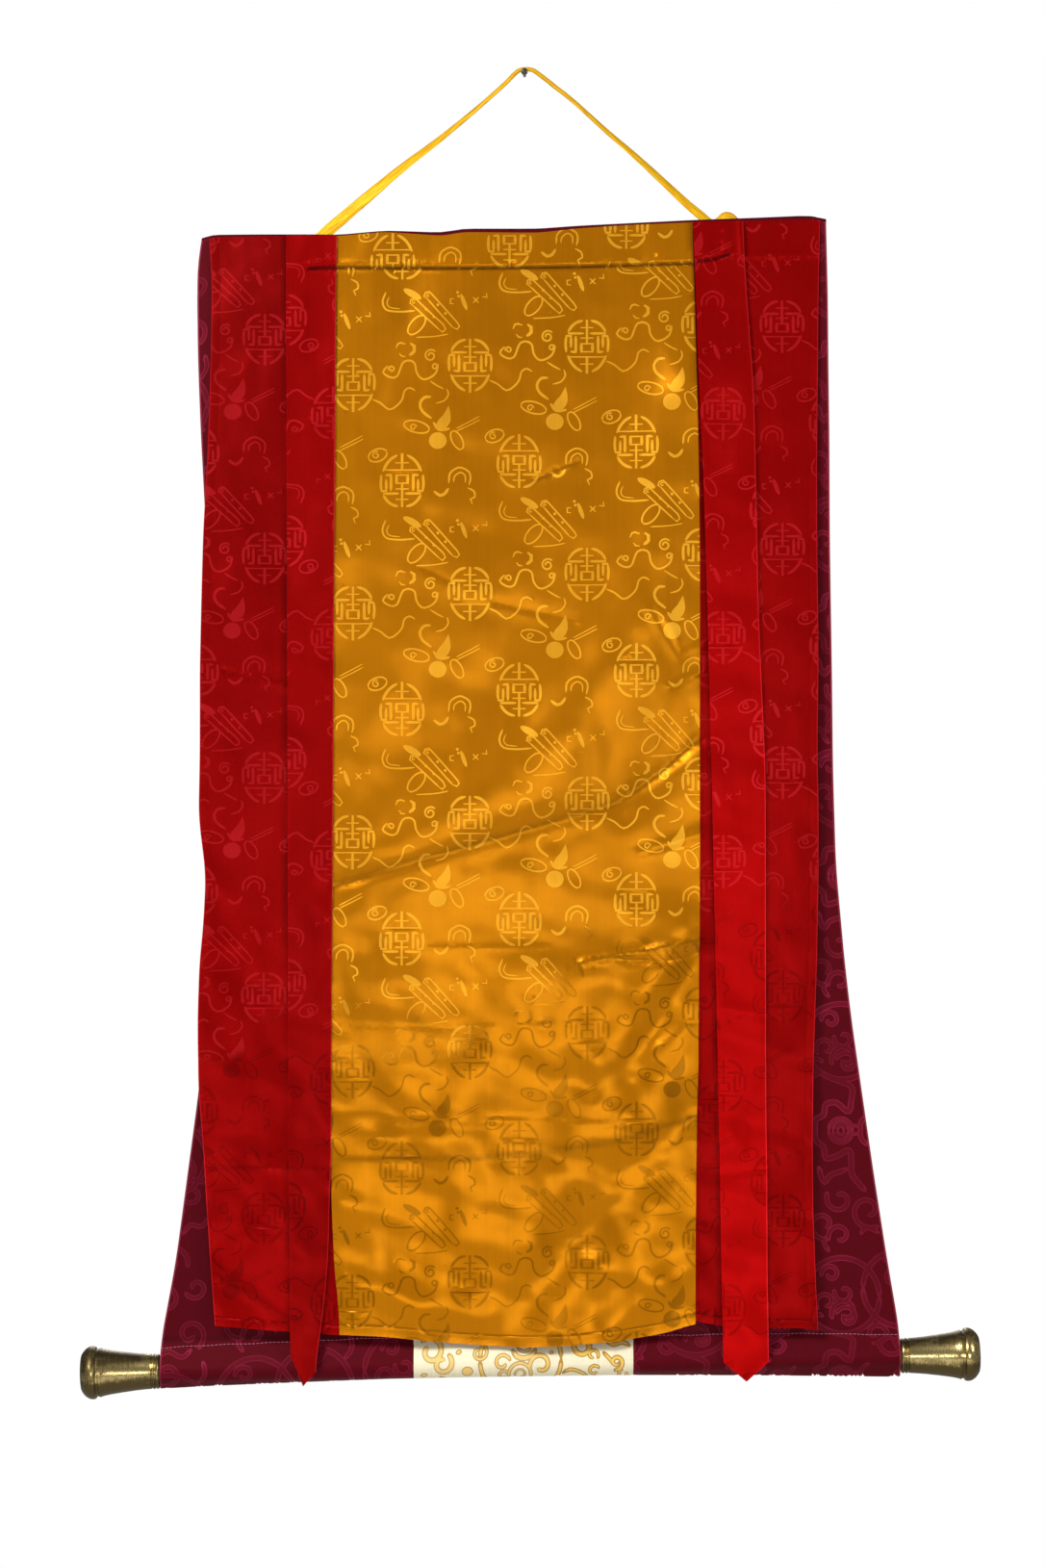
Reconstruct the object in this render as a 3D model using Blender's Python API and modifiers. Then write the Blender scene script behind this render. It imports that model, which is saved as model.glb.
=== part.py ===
"""A thangka scroll painting hung by its cord from a wall nail, with its silk cover let down in front.

The origin is the centre of the nail's back end, at the wall. The wall is the plane y = 0, the front of
the scroll faces -Y and +Z is up. It hangs a little crooked, so its rod and its top slope. Sizes and
tables are in millimetres, and MM turns them to Blender's metres.
"""

import math

import bmesh
import bpy
import numpy as np
from mathutils import Matrix

MM = 0.001


class Table:
    """Rows of numbers under named columns, read along straight lines between the rows."""

    def __init__(self, columns, *rows):
        self.columns = dict(zip(columns.split(), np.array(rows, float).T))

    def read(self, column, key, value):
        """The column at a value of the key column, level past the first and the last row."""
        keys = self.columns[key]
        order = np.argsort(keys)
        return float(np.interp(value, keys[order], self.columns[column][order]))


# Cloth thicknesses, and the gap that neighbouring pieces keep
MOUNT_THICK = 1.2
COVER_THICK = 1.0
RIBBON_THICK = 1.2
GAP = 0.3

# The bottom rod: a round dowel that slopes up to the right
ROD_RADIUS = 11.0
ROD_DEPTH = -28.5
ROD_MIDDLE_HEIGHT = -1342.1
ROD_SLOPE = math.radians(1.203)
ROD_IN_KNOB = 28.0

# The turned brass knobs, which cap the rod's ends just past the sleeve
SOCKET_DEPTH = 31.0
LEFT_KNOB_START = -378.8
RIGHT_KNOB_START = 390.8

# The slat in the top sleeve
SLAT_LENGTH = 630.0
SLAT_HEIGHT = 26.0
SLAT_THICK = 4.0
SLAT_MIDDLE = (-12.0, -11.2, -180.6)
SLAT_SLOPE = math.radians(1.96)

# The mount cloth's middle line, from the wall to the front
FLAP_DEPTH = -8.2
FRONT_DEPTH = -14.2
TOP_TURN = 3.0
SEAM_SPREAD = 0.85
SLEEVE_RADIUS = 12.3
SLEEVE_STEPS = 18
FRONT_ROWS = 14
TOP_FLAP = ((-13.0, -46.0), (-12.6, -41.0), (-8.8, -36.5), (FLAP_DEPTH, -30.0), (FLAP_DEPTH, -14.0))
TAIL_LENGTHS = (5.0, 12.0)
TOP_LEVEL = -162.0
SEAM_LEVEL = -1311.0

# The pale panel let into the middle of the mount's foot
DOOR_LEFT = -115.0
DOOR_RIGHT = 113.0
DOOR_TOP_ROW = 11
SIDE_COLUMNS = 7
DOOR_COLUMNS = 6

# How far the panels of the cover and its ribbons stand before one another
COVER_ROWS = 30
CENTRE_FORWARD = 1.9
RIBBON_FORWARD = 4.8
SEAM_LAP = 5.0

# The wall nail
NAIL_PROFILE = ((24.8, 0.0), (24.6, 2.2), (23.9, 3.6), (22.9, 3.6), (22.6, 1.9), (0.0, 1.9), (0.0, 0.0))

TOP_EDGE = Table(
    "x z",
    (-337, -177), (-330, -172), (-210, -169), (-195, -169), (-145, -164), (-85, -166), (-65, -162),
    (15, -162), (55, -159), (105, -157), (175, -154), (245, -153), (312, -151),
)
STITCH_LINE = Table("x z", (-377, -1317), (-245, -1314), (315, -1309), (390, -1311))
SLEEVE_FOOT = Table(
    "x z", (-377, -1366), (-245, -1362), (-115, -1357), (113, -1354), (255, -1356), (390, -1360)
)
MOUNT_SIDES = Table(
    "z left right",
    (-151, -330, 311), (-177, -334, 312), (-190, -337, 313), (-226, -337, 314), (-376, -336, 316),
    (-486, -331, 317), (-626, -328, 320), (-726, -326, 321), (-826, -325, 324), (-926, -328, 333),
    (-986, -332, 340), (-1056, -338, 348), (-1146, -350, 361), (-1236, -362, 378), (-1321, -375, 389),
    (-1366, -378, 390),
)
COVER_SIDES = Table(
    "z left right",
    (-156, -329, 308), (-226, -325, 306), (-326, -327, 305), (-406, -330, 304), (-486, -334, 304),
    (-566, -336, 305), (-626, -337, 305), (-706, -337, 304), (-776, -338, 305), (-836, -330, 305),
    (-886, -333, 304), (-926, -337, 303), (-986, -339, 301), (-1056, -338, 300), (-1126, -332, 299),
    (-1196, -328, 301), (-1266, -324, 302), (-1304, -322, 305),
)
COVER_SEAMS = Table(
    "z left right",
    (-166, -195, 175), (-226, -196, 177), (-326, -197, 179), (-426, -198, 181), (-526, -199, 182),
    (-826, -199, 182), (-1026, -200, 180), (-1126, -201, 178), (-1226, -197, 177), (-1310, -193, 177),
)
COVER_HEAD = Table(
    "x below", (-332, 3), (-248, 2), (-145, 2), (-85, 4.5), (15, 5), (55, 3.5), (105, 2), (312, 3)
)
CENTRE_HEM = Table(
    "x z",
    (-193, -1310), (-145, -1312), (-115, -1315), (-65, -1320), (-15, -1323), (35, -1322), (95, -1317),
    (145, -1309), (177, -1298),
)
SIDE_HEM = Table("x z", (-322, -1301), (-193, -1311), (172, -1295), (200, -1301), (255, -1304), (305, -1303))
LEFT_RIBBON = Table(
    "z left right",
    (-168, -248, -195), (-226, -248, -196), (-426, -247, -197), (-1126, -244, -200), (-1235, -243, -203),
    (-1296, -243, -209), (-1347, -241, -217),
)
RIGHT_RIBBON = Table(
    "z left right",
    (-158, 175, 227), (-216, 178, 230), (-326, 181, 238), (-406, 185, 240), (-566, 190, 243),
    (-726, 194, 250), (-1026, 200, 250), (-1306, 205, 252), (-1338, 206, 253),
)
LEFT_RIBBON_TIP = (-1347.0, -1363.0)
RIGHT_RIBBON_TIP = (-1338.0, -1358.0)

# How far the cover hangs in front of the mount cloth, down its height
COVER_STAND_OFF = Table(
    "z off", (-150, 1.7), (-205, 3.2), (-400, 6.0), (-800, 9.0), (-1100, 10.0), (-1363, 12.0)
)

# The cover's long soft folds: a line of points across its face, how far the fold reaches to either side
# and how far it stands forward, or back where that is below zero
COVER_FOLDS = (
    (((175, -340), (145, -486), (95, -626), (15, -726), (-125, -826)), 58, 8.0),
    (((182, -690), (95, -766), (-5, -796), (-190, -849)), 22, -4.0),
    (((-60, -190), (-95, -420), (-60, -640)), 70, 2.4),
    (((-130, -930), (0, -960), (130, -930)), 75, 5.0),
    (((-150, -1110), (20, -1130), (150, -1090)), 60, 4.0),
    (((60, -1290), (177, -1180)), 40, 4.0),
    (((-330, -836), (-285, -900), (-262, -1010)), 32, 4.5),
    (((-300, -480), (-290, -700)), 30, 2.6),
    (((275, -420), (280, -760), (270, -1150)), 26, 2.8),
    (((-305, -1250), (-255, -1290)), 20, 2.6),
)

# The hanging cord's route: the left end behind the top sleeve, over the nail, and the right end, which
# shows again for a moment above the sleeve before it goes down behind it
CORD_RADIUS = 3.0
CORD_SPACING = 13.0
CORD_ROUTE = (
    (-228, -4.2, -197), (-225, -4.2, -188), (-220, -4.2, -178), (-210, -4.4, -167.5), (-188, -5.0, -148),
    (-166, -5.6, -129.5), (-126, -7.0, -96.5), (-91, -8.4, -69.8), (-56, -9.8, -41.5), (-33, -10.7, -21.8),
    (-20.5, -11.2, -10.6), (-8.9, -11.8, 1.9), (-3.8, -12.0, 4.9), (2, -12.0, 5.9), (7.8, -12.0, 4.9),
    (12.9, -11.9, 1.9), (31, -11.2, -12.5), (50, -10.5, -27.8), (89.5, -8.9, -63), (120.4, -7.6, -89.4),
    (151.2, -6.2, -118), (173.2, -5.2, -137.8), (187, -4.7, -148.5), (195, -4.4, -154), (203, -4.3, -156.5),
    (211, -4.2, -153), (219, -4.2, -148), (227, -4.2, -148), (234, -4.2, -154), (238, -4.2, -164),
    (240, -4.2, -176),
)

# Half of a knob's section: how far from its inner end, and how far from its middle
KNOB_PROFILE = (
    (83.2, 0.0), (83.2, 12.6), (84.0, 14.2), (81.0, 19.5), (77.5, 23.6), (73.0, 26.6), (69.0, 27.3),
    (66.0, 26.8), (61.0, 25.2), (54.0, 23.5), (44.0, 21.8), (32.0, 20.2), (20.0, 18.8), (9.0, 17.9),
    (0.0, 17.5), (0.0, 11.4), (SOCKET_DEPTH, 11.4), (SOCKET_DEPTH, 0.0),
)
KNOB_STEPS = 24

# Colour (red, green, blue), roughness and metallic value of each finish
FINISHES = {
    "maroon_brocade": ((0.085, 0.004, 0.018), 0.62, 0.0),
    "ivory_brocade": ((0.80, 0.68, 0.45), 0.55, 0.0),
    "yellow_silk": ((0.62, 0.30, 0.02), 0.42, 0.0),
    "red_silk": ((0.36, 0.003, 0.008), 0.42, 0.0),
    "cord_silk": ((0.80, 0.42, 0.02), 0.55, 0.0),
    "brass": ((0.48, 0.38, 0.16), 0.32, 1.0),
    "wood": ((0.28, 0.17, 0.09), 0.60, 0.0),
    "iron": ((0.10, 0.09, 0.08), 0.45, 1.0),
}


def clear_scene():
    for obj in list(bpy.data.objects):
        bpy.data.objects.remove(obj, do_unlink=True)


def finish(name):
    """The material of one piece: a plain colour, its roughness and whether it is metal."""
    colour, roughness, metallic = FINISHES[name]
    material = bpy.data.materials.new(name)
    material.use_nodes = True
    shader = material.node_tree.nodes["Principled BSDF"]
    shader.inputs["Base Color"].default_value = (*colour, 1.0)
    shader.inputs["Roughness"].default_value = roughness
    shader.inputs["Metallic"].default_value = metallic
    material.diffuse_color = (*colour, 1.0)
    return material


def add_piece(name, data, finish_name, collection):
    piece = bpy.data.objects.new(name, data)
    piece.data.materials.append(finish(finish_name))
    collection.objects.link(piece)
    return piece


def rod_height(x):
    """The height of the rod's axis at a place across."""
    return ROD_MIDDLE_HEIGHT + x * math.tan(ROD_SLOPE)


def mount_depth(z):
    """The depth of the mount cloth's front layer, which leans out from the slat to the rod."""
    share = (TOP_LEVEL - z) / (TOP_LEVEL - SEAM_LEVEL)
    return FRONT_DEPTH + (ROD_DEPTH - SEAM_SPREAD - FRONT_DEPTH) * share


def reach_of_line(x, z, points):
    """The distance from a point of the cover to a line of points, in the plane of the cover."""
    best = math.inf
    for (x1, z1), (x2, z2) in zip(points, points[1:]):
        along = ((x - x1) * (x2 - x1) + (z - z1) * (z2 - z1)) / ((x2 - x1) ** 2 + (z2 - z1) ** 2)
        along = min(1.0, max(0.0, along))
        best = min(best, math.hypot(x - x1 - along * (x2 - x1), z - z1 - along * (z2 - z1)))
    return best


def cover_depth(x, z):
    """The depth of the cover: the mount's, less the stand-off, less each fold as a soft ridge."""
    folds = sum(
        height * math.exp(-((reach_of_line(x, z, points) / reach) ** 2))
        for points, reach, height in COVER_FOLDS
    )
    return mount_depth(z) - COVER_STAND_OFF.read("off", "z", z) - folds


def sheet(name, columns, rows, place, thick, finish_name, collection, keep=None):
    """Cloth: a flat grid whose points are moved to place(across, down), then thickened to both sides.

    across and down run from 0 to 1. keep, where given, says which faces of the grid stay.
    """
    grid = bmesh.new()
    bmesh.ops.create_grid(grid, x_segments=columns, y_segments=rows, size=0.5)
    if keep:
        spare = [face for face in grid.faces if not keep(*across_and_down(face.calc_center_median()))]
        bmesh.ops.delete(grid, geom=spare, context="FACES")
    for vert in grid.verts:
        vert.co = [value * MM for value in place(*across_and_down(vert.co))]
    mesh = bpy.data.meshes.new(name)
    grid.to_mesh(mesh)
    grid.free()
    mesh.shade_smooth()
    piece = add_piece(name, mesh, finish_name, collection)
    wall = piece.modifiers.new("Thickness", "SOLIDIFY")
    wall.thickness = thick * MM
    wall.offset = 0.0
    wall.use_even_offset = True
    return piece


def across_and_down(point):
    return point.x + 0.5, 0.5 - point.y


def mount_across(share, z):
    """The place across of a column: even steps from the left side to the door, over it, and on."""
    left = MOUNT_SIDES.read("left", "z", z)
    right = MOUNT_SIDES.read("right", "z", z)
    total = 2 * SIDE_COLUMNS + DOOR_COLUMNS
    stops = (0.0, SIDE_COLUMNS / total, 1.0 - SIDE_COLUMNS / total, 1.0)
    return float(np.interp(share, stops, (left, DOOR_LEFT, DOOR_RIGHT, right)))


def sleeve_loop(x):
    """The sleeve round the rod, as (depth, height) from the seam's front side round to its back.

    From the seam it runs straight to the rod, round it, and where the cloth hangs lower, straight to
    the foot. Each is the distance from the rod's axis at an angle turned from straight up to the front.
    """
    middle = rod_height(x)
    seam = STITCH_LINE.read("z", "x", x) - middle
    foot = max(SLEEVE_RADIUS, middle - SLEEVE_FOOT.read("z", "x", x) - MOUNT_THICK / 2)
    upper = math.acos(SLEEVE_RADIUS / seam)
    lower = math.pi - math.acos(SLEEVE_RADIUS / foot)
    points = [(ROD_DEPTH - SEAM_SPREAD, middle + seam)]
    for step in range(1, SLEEVE_STEPS):
        turn = 2 * math.pi * step / SLEEVE_STEPS
        side = min(turn, 2 * math.pi - turn)
        past = max(upper - side, side - lower, 0.0)
        radius = SLEEVE_RADIUS / math.cos(past)
        points.append((ROD_DEPTH - radius * math.sin(turn), middle + radius * math.cos(turn)))
    points.append((ROD_DEPTH + SEAM_SPREAD, middle + seam))
    return points


def sleeve_tail(x):
    """The sleeve's turning, which lies up the back of the cloth past the seam."""
    seam = STITCH_LINE.read("z", "x", x)
    return [(mount_depth(seam + length) + 2 * SEAM_SPREAD, seam + length) for length in TAIL_LENGTHS]


def front_rows(x, first, last):
    """The flat front of the mount, as (depth, height), from one row to another of its even rows."""
    top = TOP_EDGE.read("z", "x", x) - TOP_TURN
    seam = STITCH_LINE.read("z", "x", x)
    heights = [top + (seam - top) * row / FRONT_ROWS for row in range(first, last)]
    return [(mount_depth(height), height) for height in heights]


def mount_path(x):
    """The mount's middle line: up the back of the slat, over it, down the front and round the rod."""
    top = TOP_EDGE.read("z", "x", x)
    flap = [(depth, top + height) for depth, height in TOP_FLAP]
    middle = (FLAP_DEPTH + FRONT_DEPTH) / 2
    turn = [
        (middle + TOP_TURN * math.cos(angle), top - TOP_TURN + TOP_TURN * math.sin(angle))
        for angle in np.linspace(0.0, math.pi, 5)[:-1]
    ]
    return flap + turn + front_rows(x, 0, FRONT_ROWS) + sleeve_loop(x) + sleeve_tail(x)


def on_path(path_at, rows, across):
    """A function that places a grid's point on the path of its own column."""

    def place(share, down):
        row = round(down * rows)
        x = across(share, path_at(across(share, SEAM_LEVEL))[row][1])
        depth, height = path_at(x)[row]
        return across(share, height), depth, height

    return place


def build_mount(collection):
    """The mount cloth, one piece from the flap behind the slat to the turning behind the rod."""
    rows = len(mount_path(0.0)) - 1
    door_top = len(TOP_FLAP) + 4 + DOOR_TOP_ROW
    columns = 2 * SIDE_COLUMNS + DOOR_COLUMNS

    def outside_door(across, down):
        beside = not SIDE_COLUMNS < across * columns < SIDE_COLUMNS + DOOR_COLUMNS
        return beside or down * rows < door_top

    place = on_path(mount_path, rows, mount_across)
    sheet("mount_cloth", columns, rows, place, MOUNT_THICK, "maroon_brocade", collection, outside_door)


def build_door(collection):
    """The pale panel that fills the opening in the mount's foot, and goes round the rod with it."""

    def path_at(x):
        path = front_rows(x, DOOR_TOP_ROW, FRONT_ROWS) + sleeve_loop(x) + sleeve_tail(x)
        path[0] = (path[0][0], path[0][1] - GAP)
        return path

    def across(share, _):
        return DOOR_LEFT + GAP + (DOOR_RIGHT - DOOR_LEFT - 2 * GAP) * share

    rows = len(path_at(0.0)) - 1
    place = on_path(path_at, rows, across)
    sheet("door_panel", DOOR_COLUMNS, rows, place, MOUNT_THICK, "ivory_brocade", collection)


def hanging_place(sides, top, foot, forward):
    """A function that places a grid's point on a cloth of the cover.

    sides(z) gives its left and right edges, top(x) and foot(across, x) its upper and lower ones, and
    forward is how far it stands before the cover's own surface.
    """

    def place(share, down):
        z = top(0.0) + (foot(share, 0.0) - top(0.0)) * down
        for _ in range(3):
            left, right = sides(z)
            x = left + (right - left) * share
            z = top(x) + (foot(share, x) - top(x)) * down
        return x, cover_depth(x, z) - forward, z

    return place


def cover_top(x):
    return TOP_EDGE.read("z", "x", x) - COVER_HEAD.read("below", "x", x)


def build_cover(collection):
    """The cover's three panels. The middle one laps over the edges of the two at its sides."""

    def centre_sides(z):
        return COVER_SEAMS.read("left", "z", z), COVER_SEAMS.read("right", "z", z)

    def left_sides(z):
        return COVER_SIDES.read("left", "z", z), centre_sides(z)[0] + SEAM_LAP

    def right_sides(z):
        return centre_sides(z)[1] - SEAM_LAP, COVER_SIDES.read("right", "z", z)

    def centre_foot(_, x):
        return CENTRE_HEM.read("z", "x", x)

    def side_foot(_, x):
        return SIDE_HEM.read("z", "x", x)

    panels = (
        ("cover_centre", 14, centre_sides, centre_foot, CENTRE_FORWARD, "yellow_silk"),
        ("cover_left", 5, left_sides, side_foot, 0.0, "red_silk"),
        ("cover_right", 5, right_sides, side_foot, 0.0, "red_silk"),
    )
    for name, columns, sides, foot, forward, finish_name in panels:
        place = hanging_place(sides, cover_top, foot, forward)
        sheet(name, columns, COVER_ROWS, place, COVER_THICK, finish_name, collection)


def build_ribbons(collection):
    """The two long ribbons that hang before the cover and end in points before the rod."""
    ribbons = (
        ("ribbon_left", LEFT_RIBBON, LEFT_RIBBON_TIP),
        ("ribbon_right", RIGHT_RIBBON, RIGHT_RIBBON_TIP),
    )
    for name, edges, (shoulder, tip) in ribbons:

        def sides(z, edges=edges):
            return edges.read("left", "z", z), edges.read("right", "z", z)

        def foot(share, _, shoulder=shoulder, tip=tip):
            return shoulder + (tip - shoulder) * (1.0 - abs(2.0 * share - 1.0))

        place = hanging_place(sides, cover_top, foot, RIBBON_FORWARD)
        sheet(name, 4, COVER_ROWS, place, RIBBON_THICK, "red_silk", collection)


def smooth_route(points, spacing):
    """Points about one spacing apart on a smooth curve through the route's own points.

    Each stretch is the cubic that leaves and meets its two points along the line between their
    neighbours.
    """
    points = np.array(points, float)
    padded = np.vstack([2 * points[0] - points[1], points, 2 * points[-1] - points[-2]])
    found = []
    for before, start, end, after in zip(padded, padded[1:], padded[2:], padded[3:]):
        steps = max(1, round(np.linalg.norm(end - start) / spacing))
        for share in np.arange(steps) / steps:
            found.append(
                0.5
                * (
                    2 * start
                    + (end - before) * share
                    + (2 * before - 5 * start + 4 * end - after) * share**2
                    + (3 * start - before - 3 * end + after) * share**3
                )
            )
    return [*found, points[-1]]


def build_cord(collection):
    """The hanging cord, a tube along its whole route."""
    curve = bpy.data.curves.new("hanging_cord", "CURVE")
    curve.dimensions = "3D"
    curve.bevel_depth = CORD_RADIUS * MM
    curve.bevel_resolution = 2
    curve.use_fill_caps = True
    route = smooth_route(CORD_ROUTE, CORD_SPACING)
    line = curve.splines.new("POLY")
    line.points.add(len(route) - 1)
    for point, place in zip(line.points, route):
        point.co = (*(place * MM), 1.0)
    add_piece("hanging_cord", curve, "cord_silk", collection)


def turned(name, profile, steps, finish_name, collection):
    """A turned piece about its own Z. The profile is (height, radius), from its top down its outer side."""
    mesh = bpy.data.meshes.new(name)
    points = [(radius * MM, 0.0, height * MM) for height, radius in profile]
    mesh.from_pydata(points, [(i, i + 1) for i in range(len(points) - 1)], [])
    piece = add_piece(name, mesh, finish_name, collection)
    spin = piece.modifiers.new("Turning", "SCREW")
    spin.steps = steps
    spin.render_steps = steps
    spin.use_merge_vertices = True
    spin.merge_threshold = 0.00001
    return piece


def along_x(x, height, slope):
    """The placing that lays a piece's own Z along the rod, pointing right, at a place across."""
    place = Matrix.Translation((x * MM, ROD_DEPTH * MM, height * MM))
    return place @ Matrix.Rotation(math.pi / 2 - slope, 4, "Y")


def build_rod(collection):
    """The round dowel in the bottom sleeve, with its ends inside the knobs."""
    start = LEFT_KNOB_START - ROD_IN_KNOB
    end = RIGHT_KNOB_START + ROD_IN_KNOB
    length = (end - start) / math.cos(ROD_SLOPE)
    bm = bmesh.new()
    bmesh.ops.create_cone(
        bm, cap_ends=True, segments=28, radius1=ROD_RADIUS * MM, radius2=ROD_RADIUS * MM, depth=length * MM
    )
    mesh = bpy.data.meshes.new("lower_rod")
    bm.to_mesh(mesh)
    bm.free()
    middle = (start + end) / 2
    rod = add_piece("lower_rod", mesh, "wood", collection)
    rod.matrix_world = along_x(middle, rod_height(middle), ROD_SLOPE)


def build_knobs(collection):
    """The two knobs. The right one points right and the left one, turned about, left."""
    right = turned("knob_right", KNOB_PROFILE, KNOB_STEPS, "brass", collection)
    right.matrix_world = along_x(RIGHT_KNOB_START, rod_height(RIGHT_KNOB_START), ROD_SLOPE)
    left = turned("knob_left", KNOB_PROFILE, KNOB_STEPS, "brass", collection)
    turn_about = Matrix.Rotation(math.pi, 4, "X")
    left.matrix_world = along_x(LEFT_KNOB_START, rod_height(LEFT_KNOB_START), ROD_SLOPE) @ turn_about


def build_slat(collection):
    """The flat slat inside the top sleeve, with its edges eased."""
    bm = bmesh.new()
    bmesh.ops.create_cube(bm, size=1.0)
    bmesh.ops.scale(bm, vec=(SLAT_LENGTH * MM, SLAT_THICK * MM, SLAT_HEIGHT * MM), verts=bm.verts)
    mesh = bpy.data.meshes.new("top_slat")
    bm.to_mesh(mesh)
    bm.free()
    slat = add_piece("top_slat", mesh, "wood", collection)
    slat.location = [value * MM for value in SLAT_MIDDLE]
    slat.rotation_euler = (0.0, -SLAT_SLOPE, 0.0)
    eased = slat.modifiers.new("Eased edges", "BEVEL")
    eased.width = 1.2 * MM
    eased.segments = 2


def build_nail(collection):
    """The wall nail: its back end at the wall and its head towards the room."""
    nail = turned("wall_nail", NAIL_PROFILE, 16, "iron", collection)
    nail.rotation_euler = (math.pi / 2, 0.0, 0.0)


def main():
    clear_scene()
    scroll = bpy.data.collections.new("thangka_scroll_painting")
    bpy.context.scene.collection.children.link(scroll)
    build_mount(scroll)
    build_door(scroll)
    build_cover(scroll)
    build_ribbons(scroll)
    build_cord(scroll)
    build_rod(scroll)
    build_knobs(scroll)
    build_slat(scroll)
    build_nail(scroll)


main()
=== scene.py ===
"""A thangka scroll painting hung from a wall nail by its silk cord, with its silk cover let down in front.

The file is laid out as a Blender add-on and is run as a script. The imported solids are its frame, and it
gives them silk, brocade, brass and wood. The wall is the plane y = 0, the front faces -Y and +Z is up.
Tables and charts are in millimetres, and MM turns them to Blender's metres. A place in a chart is a
distance to the right and a height.
"""

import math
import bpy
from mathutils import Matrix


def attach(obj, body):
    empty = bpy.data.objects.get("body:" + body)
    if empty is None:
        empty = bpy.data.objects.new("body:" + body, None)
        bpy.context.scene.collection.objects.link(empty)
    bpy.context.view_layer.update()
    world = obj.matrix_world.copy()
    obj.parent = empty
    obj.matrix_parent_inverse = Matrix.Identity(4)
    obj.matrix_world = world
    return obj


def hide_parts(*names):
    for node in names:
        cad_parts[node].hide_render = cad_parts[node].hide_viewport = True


bl_info = {
    "name": "Thangka scroll painting",
    "version": (1, 0, 0),
    "blender": (4, 5, 0),
    "location": "View3D > Sidebar > Thangka",
    "description": "Dresses the solids of a hung scroll in silk, brocade, brass and wood",
    "category": "Object",
}

import bpy
import numpy as np
from mathutils import Vector
from mathutils.geometry import delaunay_2d_cdt

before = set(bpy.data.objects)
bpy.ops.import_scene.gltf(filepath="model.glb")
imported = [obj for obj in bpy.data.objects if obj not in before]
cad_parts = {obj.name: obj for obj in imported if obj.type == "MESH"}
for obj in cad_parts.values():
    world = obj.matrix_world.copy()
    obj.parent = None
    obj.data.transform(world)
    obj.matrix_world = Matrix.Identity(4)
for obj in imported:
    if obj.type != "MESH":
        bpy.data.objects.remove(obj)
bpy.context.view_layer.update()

MM = 0.001


class Table:
    """Rows of numbers under named columns, read along lines between the rows."""

    def __init__(self, columns, *rows):
        self.columns = dict(zip(columns.split(), np.array(rows, float).T))

    def read(self, column, key, value, ease=0.0):
        """The column at values of the key column. ease rounds the corners, as the mean of five near values."""
        keys = self.columns[key]
        order = np.argsort(keys)
        keys, values = keys[order], self.columns[column][order]
        steps = (-1.0, -0.5, 0.0, 0.5, 1.0) if ease else (0.0,)
        return sum(np.interp(value + step * ease, keys, values) for step in steps) / len(steps)


# The bottom rod and the knobs on it
ROD_DEPTH = -28.5
ROD_MIDDLE_HEIGHT = -1342.1
ROD_SLOPE = math.radians(1.203)
LEFT_KNOB_START = -378.8
RIGHT_KNOB_START = 390.8
KNOB_STEPS = 96

# The mount cloth's middle line, from the wall to the front
MOUNT_THICK = 1.0
FLAP_DEPTH = -8.2
FRONT_DEPTH = -14.2
TOP_TURN = 3.0
SEAM_SPREAD = 0.85
SLEEVE_RADIUS = 12.3
SLEEVE_STEPS = 72
FRONT_ROWS = 56
TURN_ROWS = 8
TOP_FLAP = ((-13.0, -46.0), (-12.6, -41.0), (-8.8, -36.5), (FLAP_DEPTH, -30.0), (FLAP_DEPTH, -14.0))
FLAP_ROWS = len(TOP_FLAP) + TURN_ROWS
TAIL_LENGTHS = (5.0, 12.0)
TOP_LEVEL = -162.0
SEAM_LEVEL = -1311.0
MOUNT_MIDDLE = -700.0
MOUNT_WIDTH = 720.0
SLEEVE_LENGTH = 60.0

# The mount's cut width in metres, and the share of that width and its length that is cloth, because it
# narrows upwards and is open where the pale panel is let in
MOUNT_CUT_WIDTH = 0.80
MOUNT_CUT_SHARE = 0.86

# The pale panel let into the middle of the mount's foot
DOOR_LEFT = -115.0
DOOR_RIGHT = 113.0
DOOR_TOP_ROW = 44
GAP = 0.3

# How far the panels of the cover and its ribbons stand before one another
CENTRE_FORWARD = 1.9
RIBBON_FORWARD = 4.8
SEAM_LAP = 5.0
COVER_THICK = 0.7
COVER_LENGTH = 1150.0
COVER_WIDTHS = {
    "cover_centre": 370.0, "cover_left": 110.0, "cover_right": 110.0, "ribbon_left": 52.0, "ribbon_right": 52.0,
}

TOP_EDGE = Table(
    "x z",
    (-337, -174), (-330, -168.5), (-280, -168), (-210, -168), (-195, -168.5), (-145, -164), (-85, -166), (-65, -162),
    (15, -162), (55, -159), (105, -156.5), (175, -153), (245, -150.5), (296, -148.3), (306, -149.5), (314, -153),
)
STITCH_LINE = Table("x z", (-377, -1317), (-245, -1314), (315, -1309), (390, -1311))
SLEEVE_FOOT = Table(
    "x z", (-377, -1368.5), (-340, -1366), (-245, -1362), (-115, -1357), (113, -1354), (255, -1354.5), (390, -1356)
)
MOUNT_SIDES = Table(
    "z left right",
    (-151, -332, 314), (-177, -337, 315), (-190, -340, 315), (-226, -341, 316), (-300, -340, 316.5),
    (-376, -337, 317.5), (-486, -331, 318), (-626, -328, 320), (-726, -326, 321), (-826, -325, 324),
    (-926, -328, 333), (-986, -332, 340), (-1056, -338, 350), (-1146, -350, 363), (-1236, -362, 377),
    (-1306, -375, 389), (-1321, -377.9, 390), (-1366, -377.9, 390),
)
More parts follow.
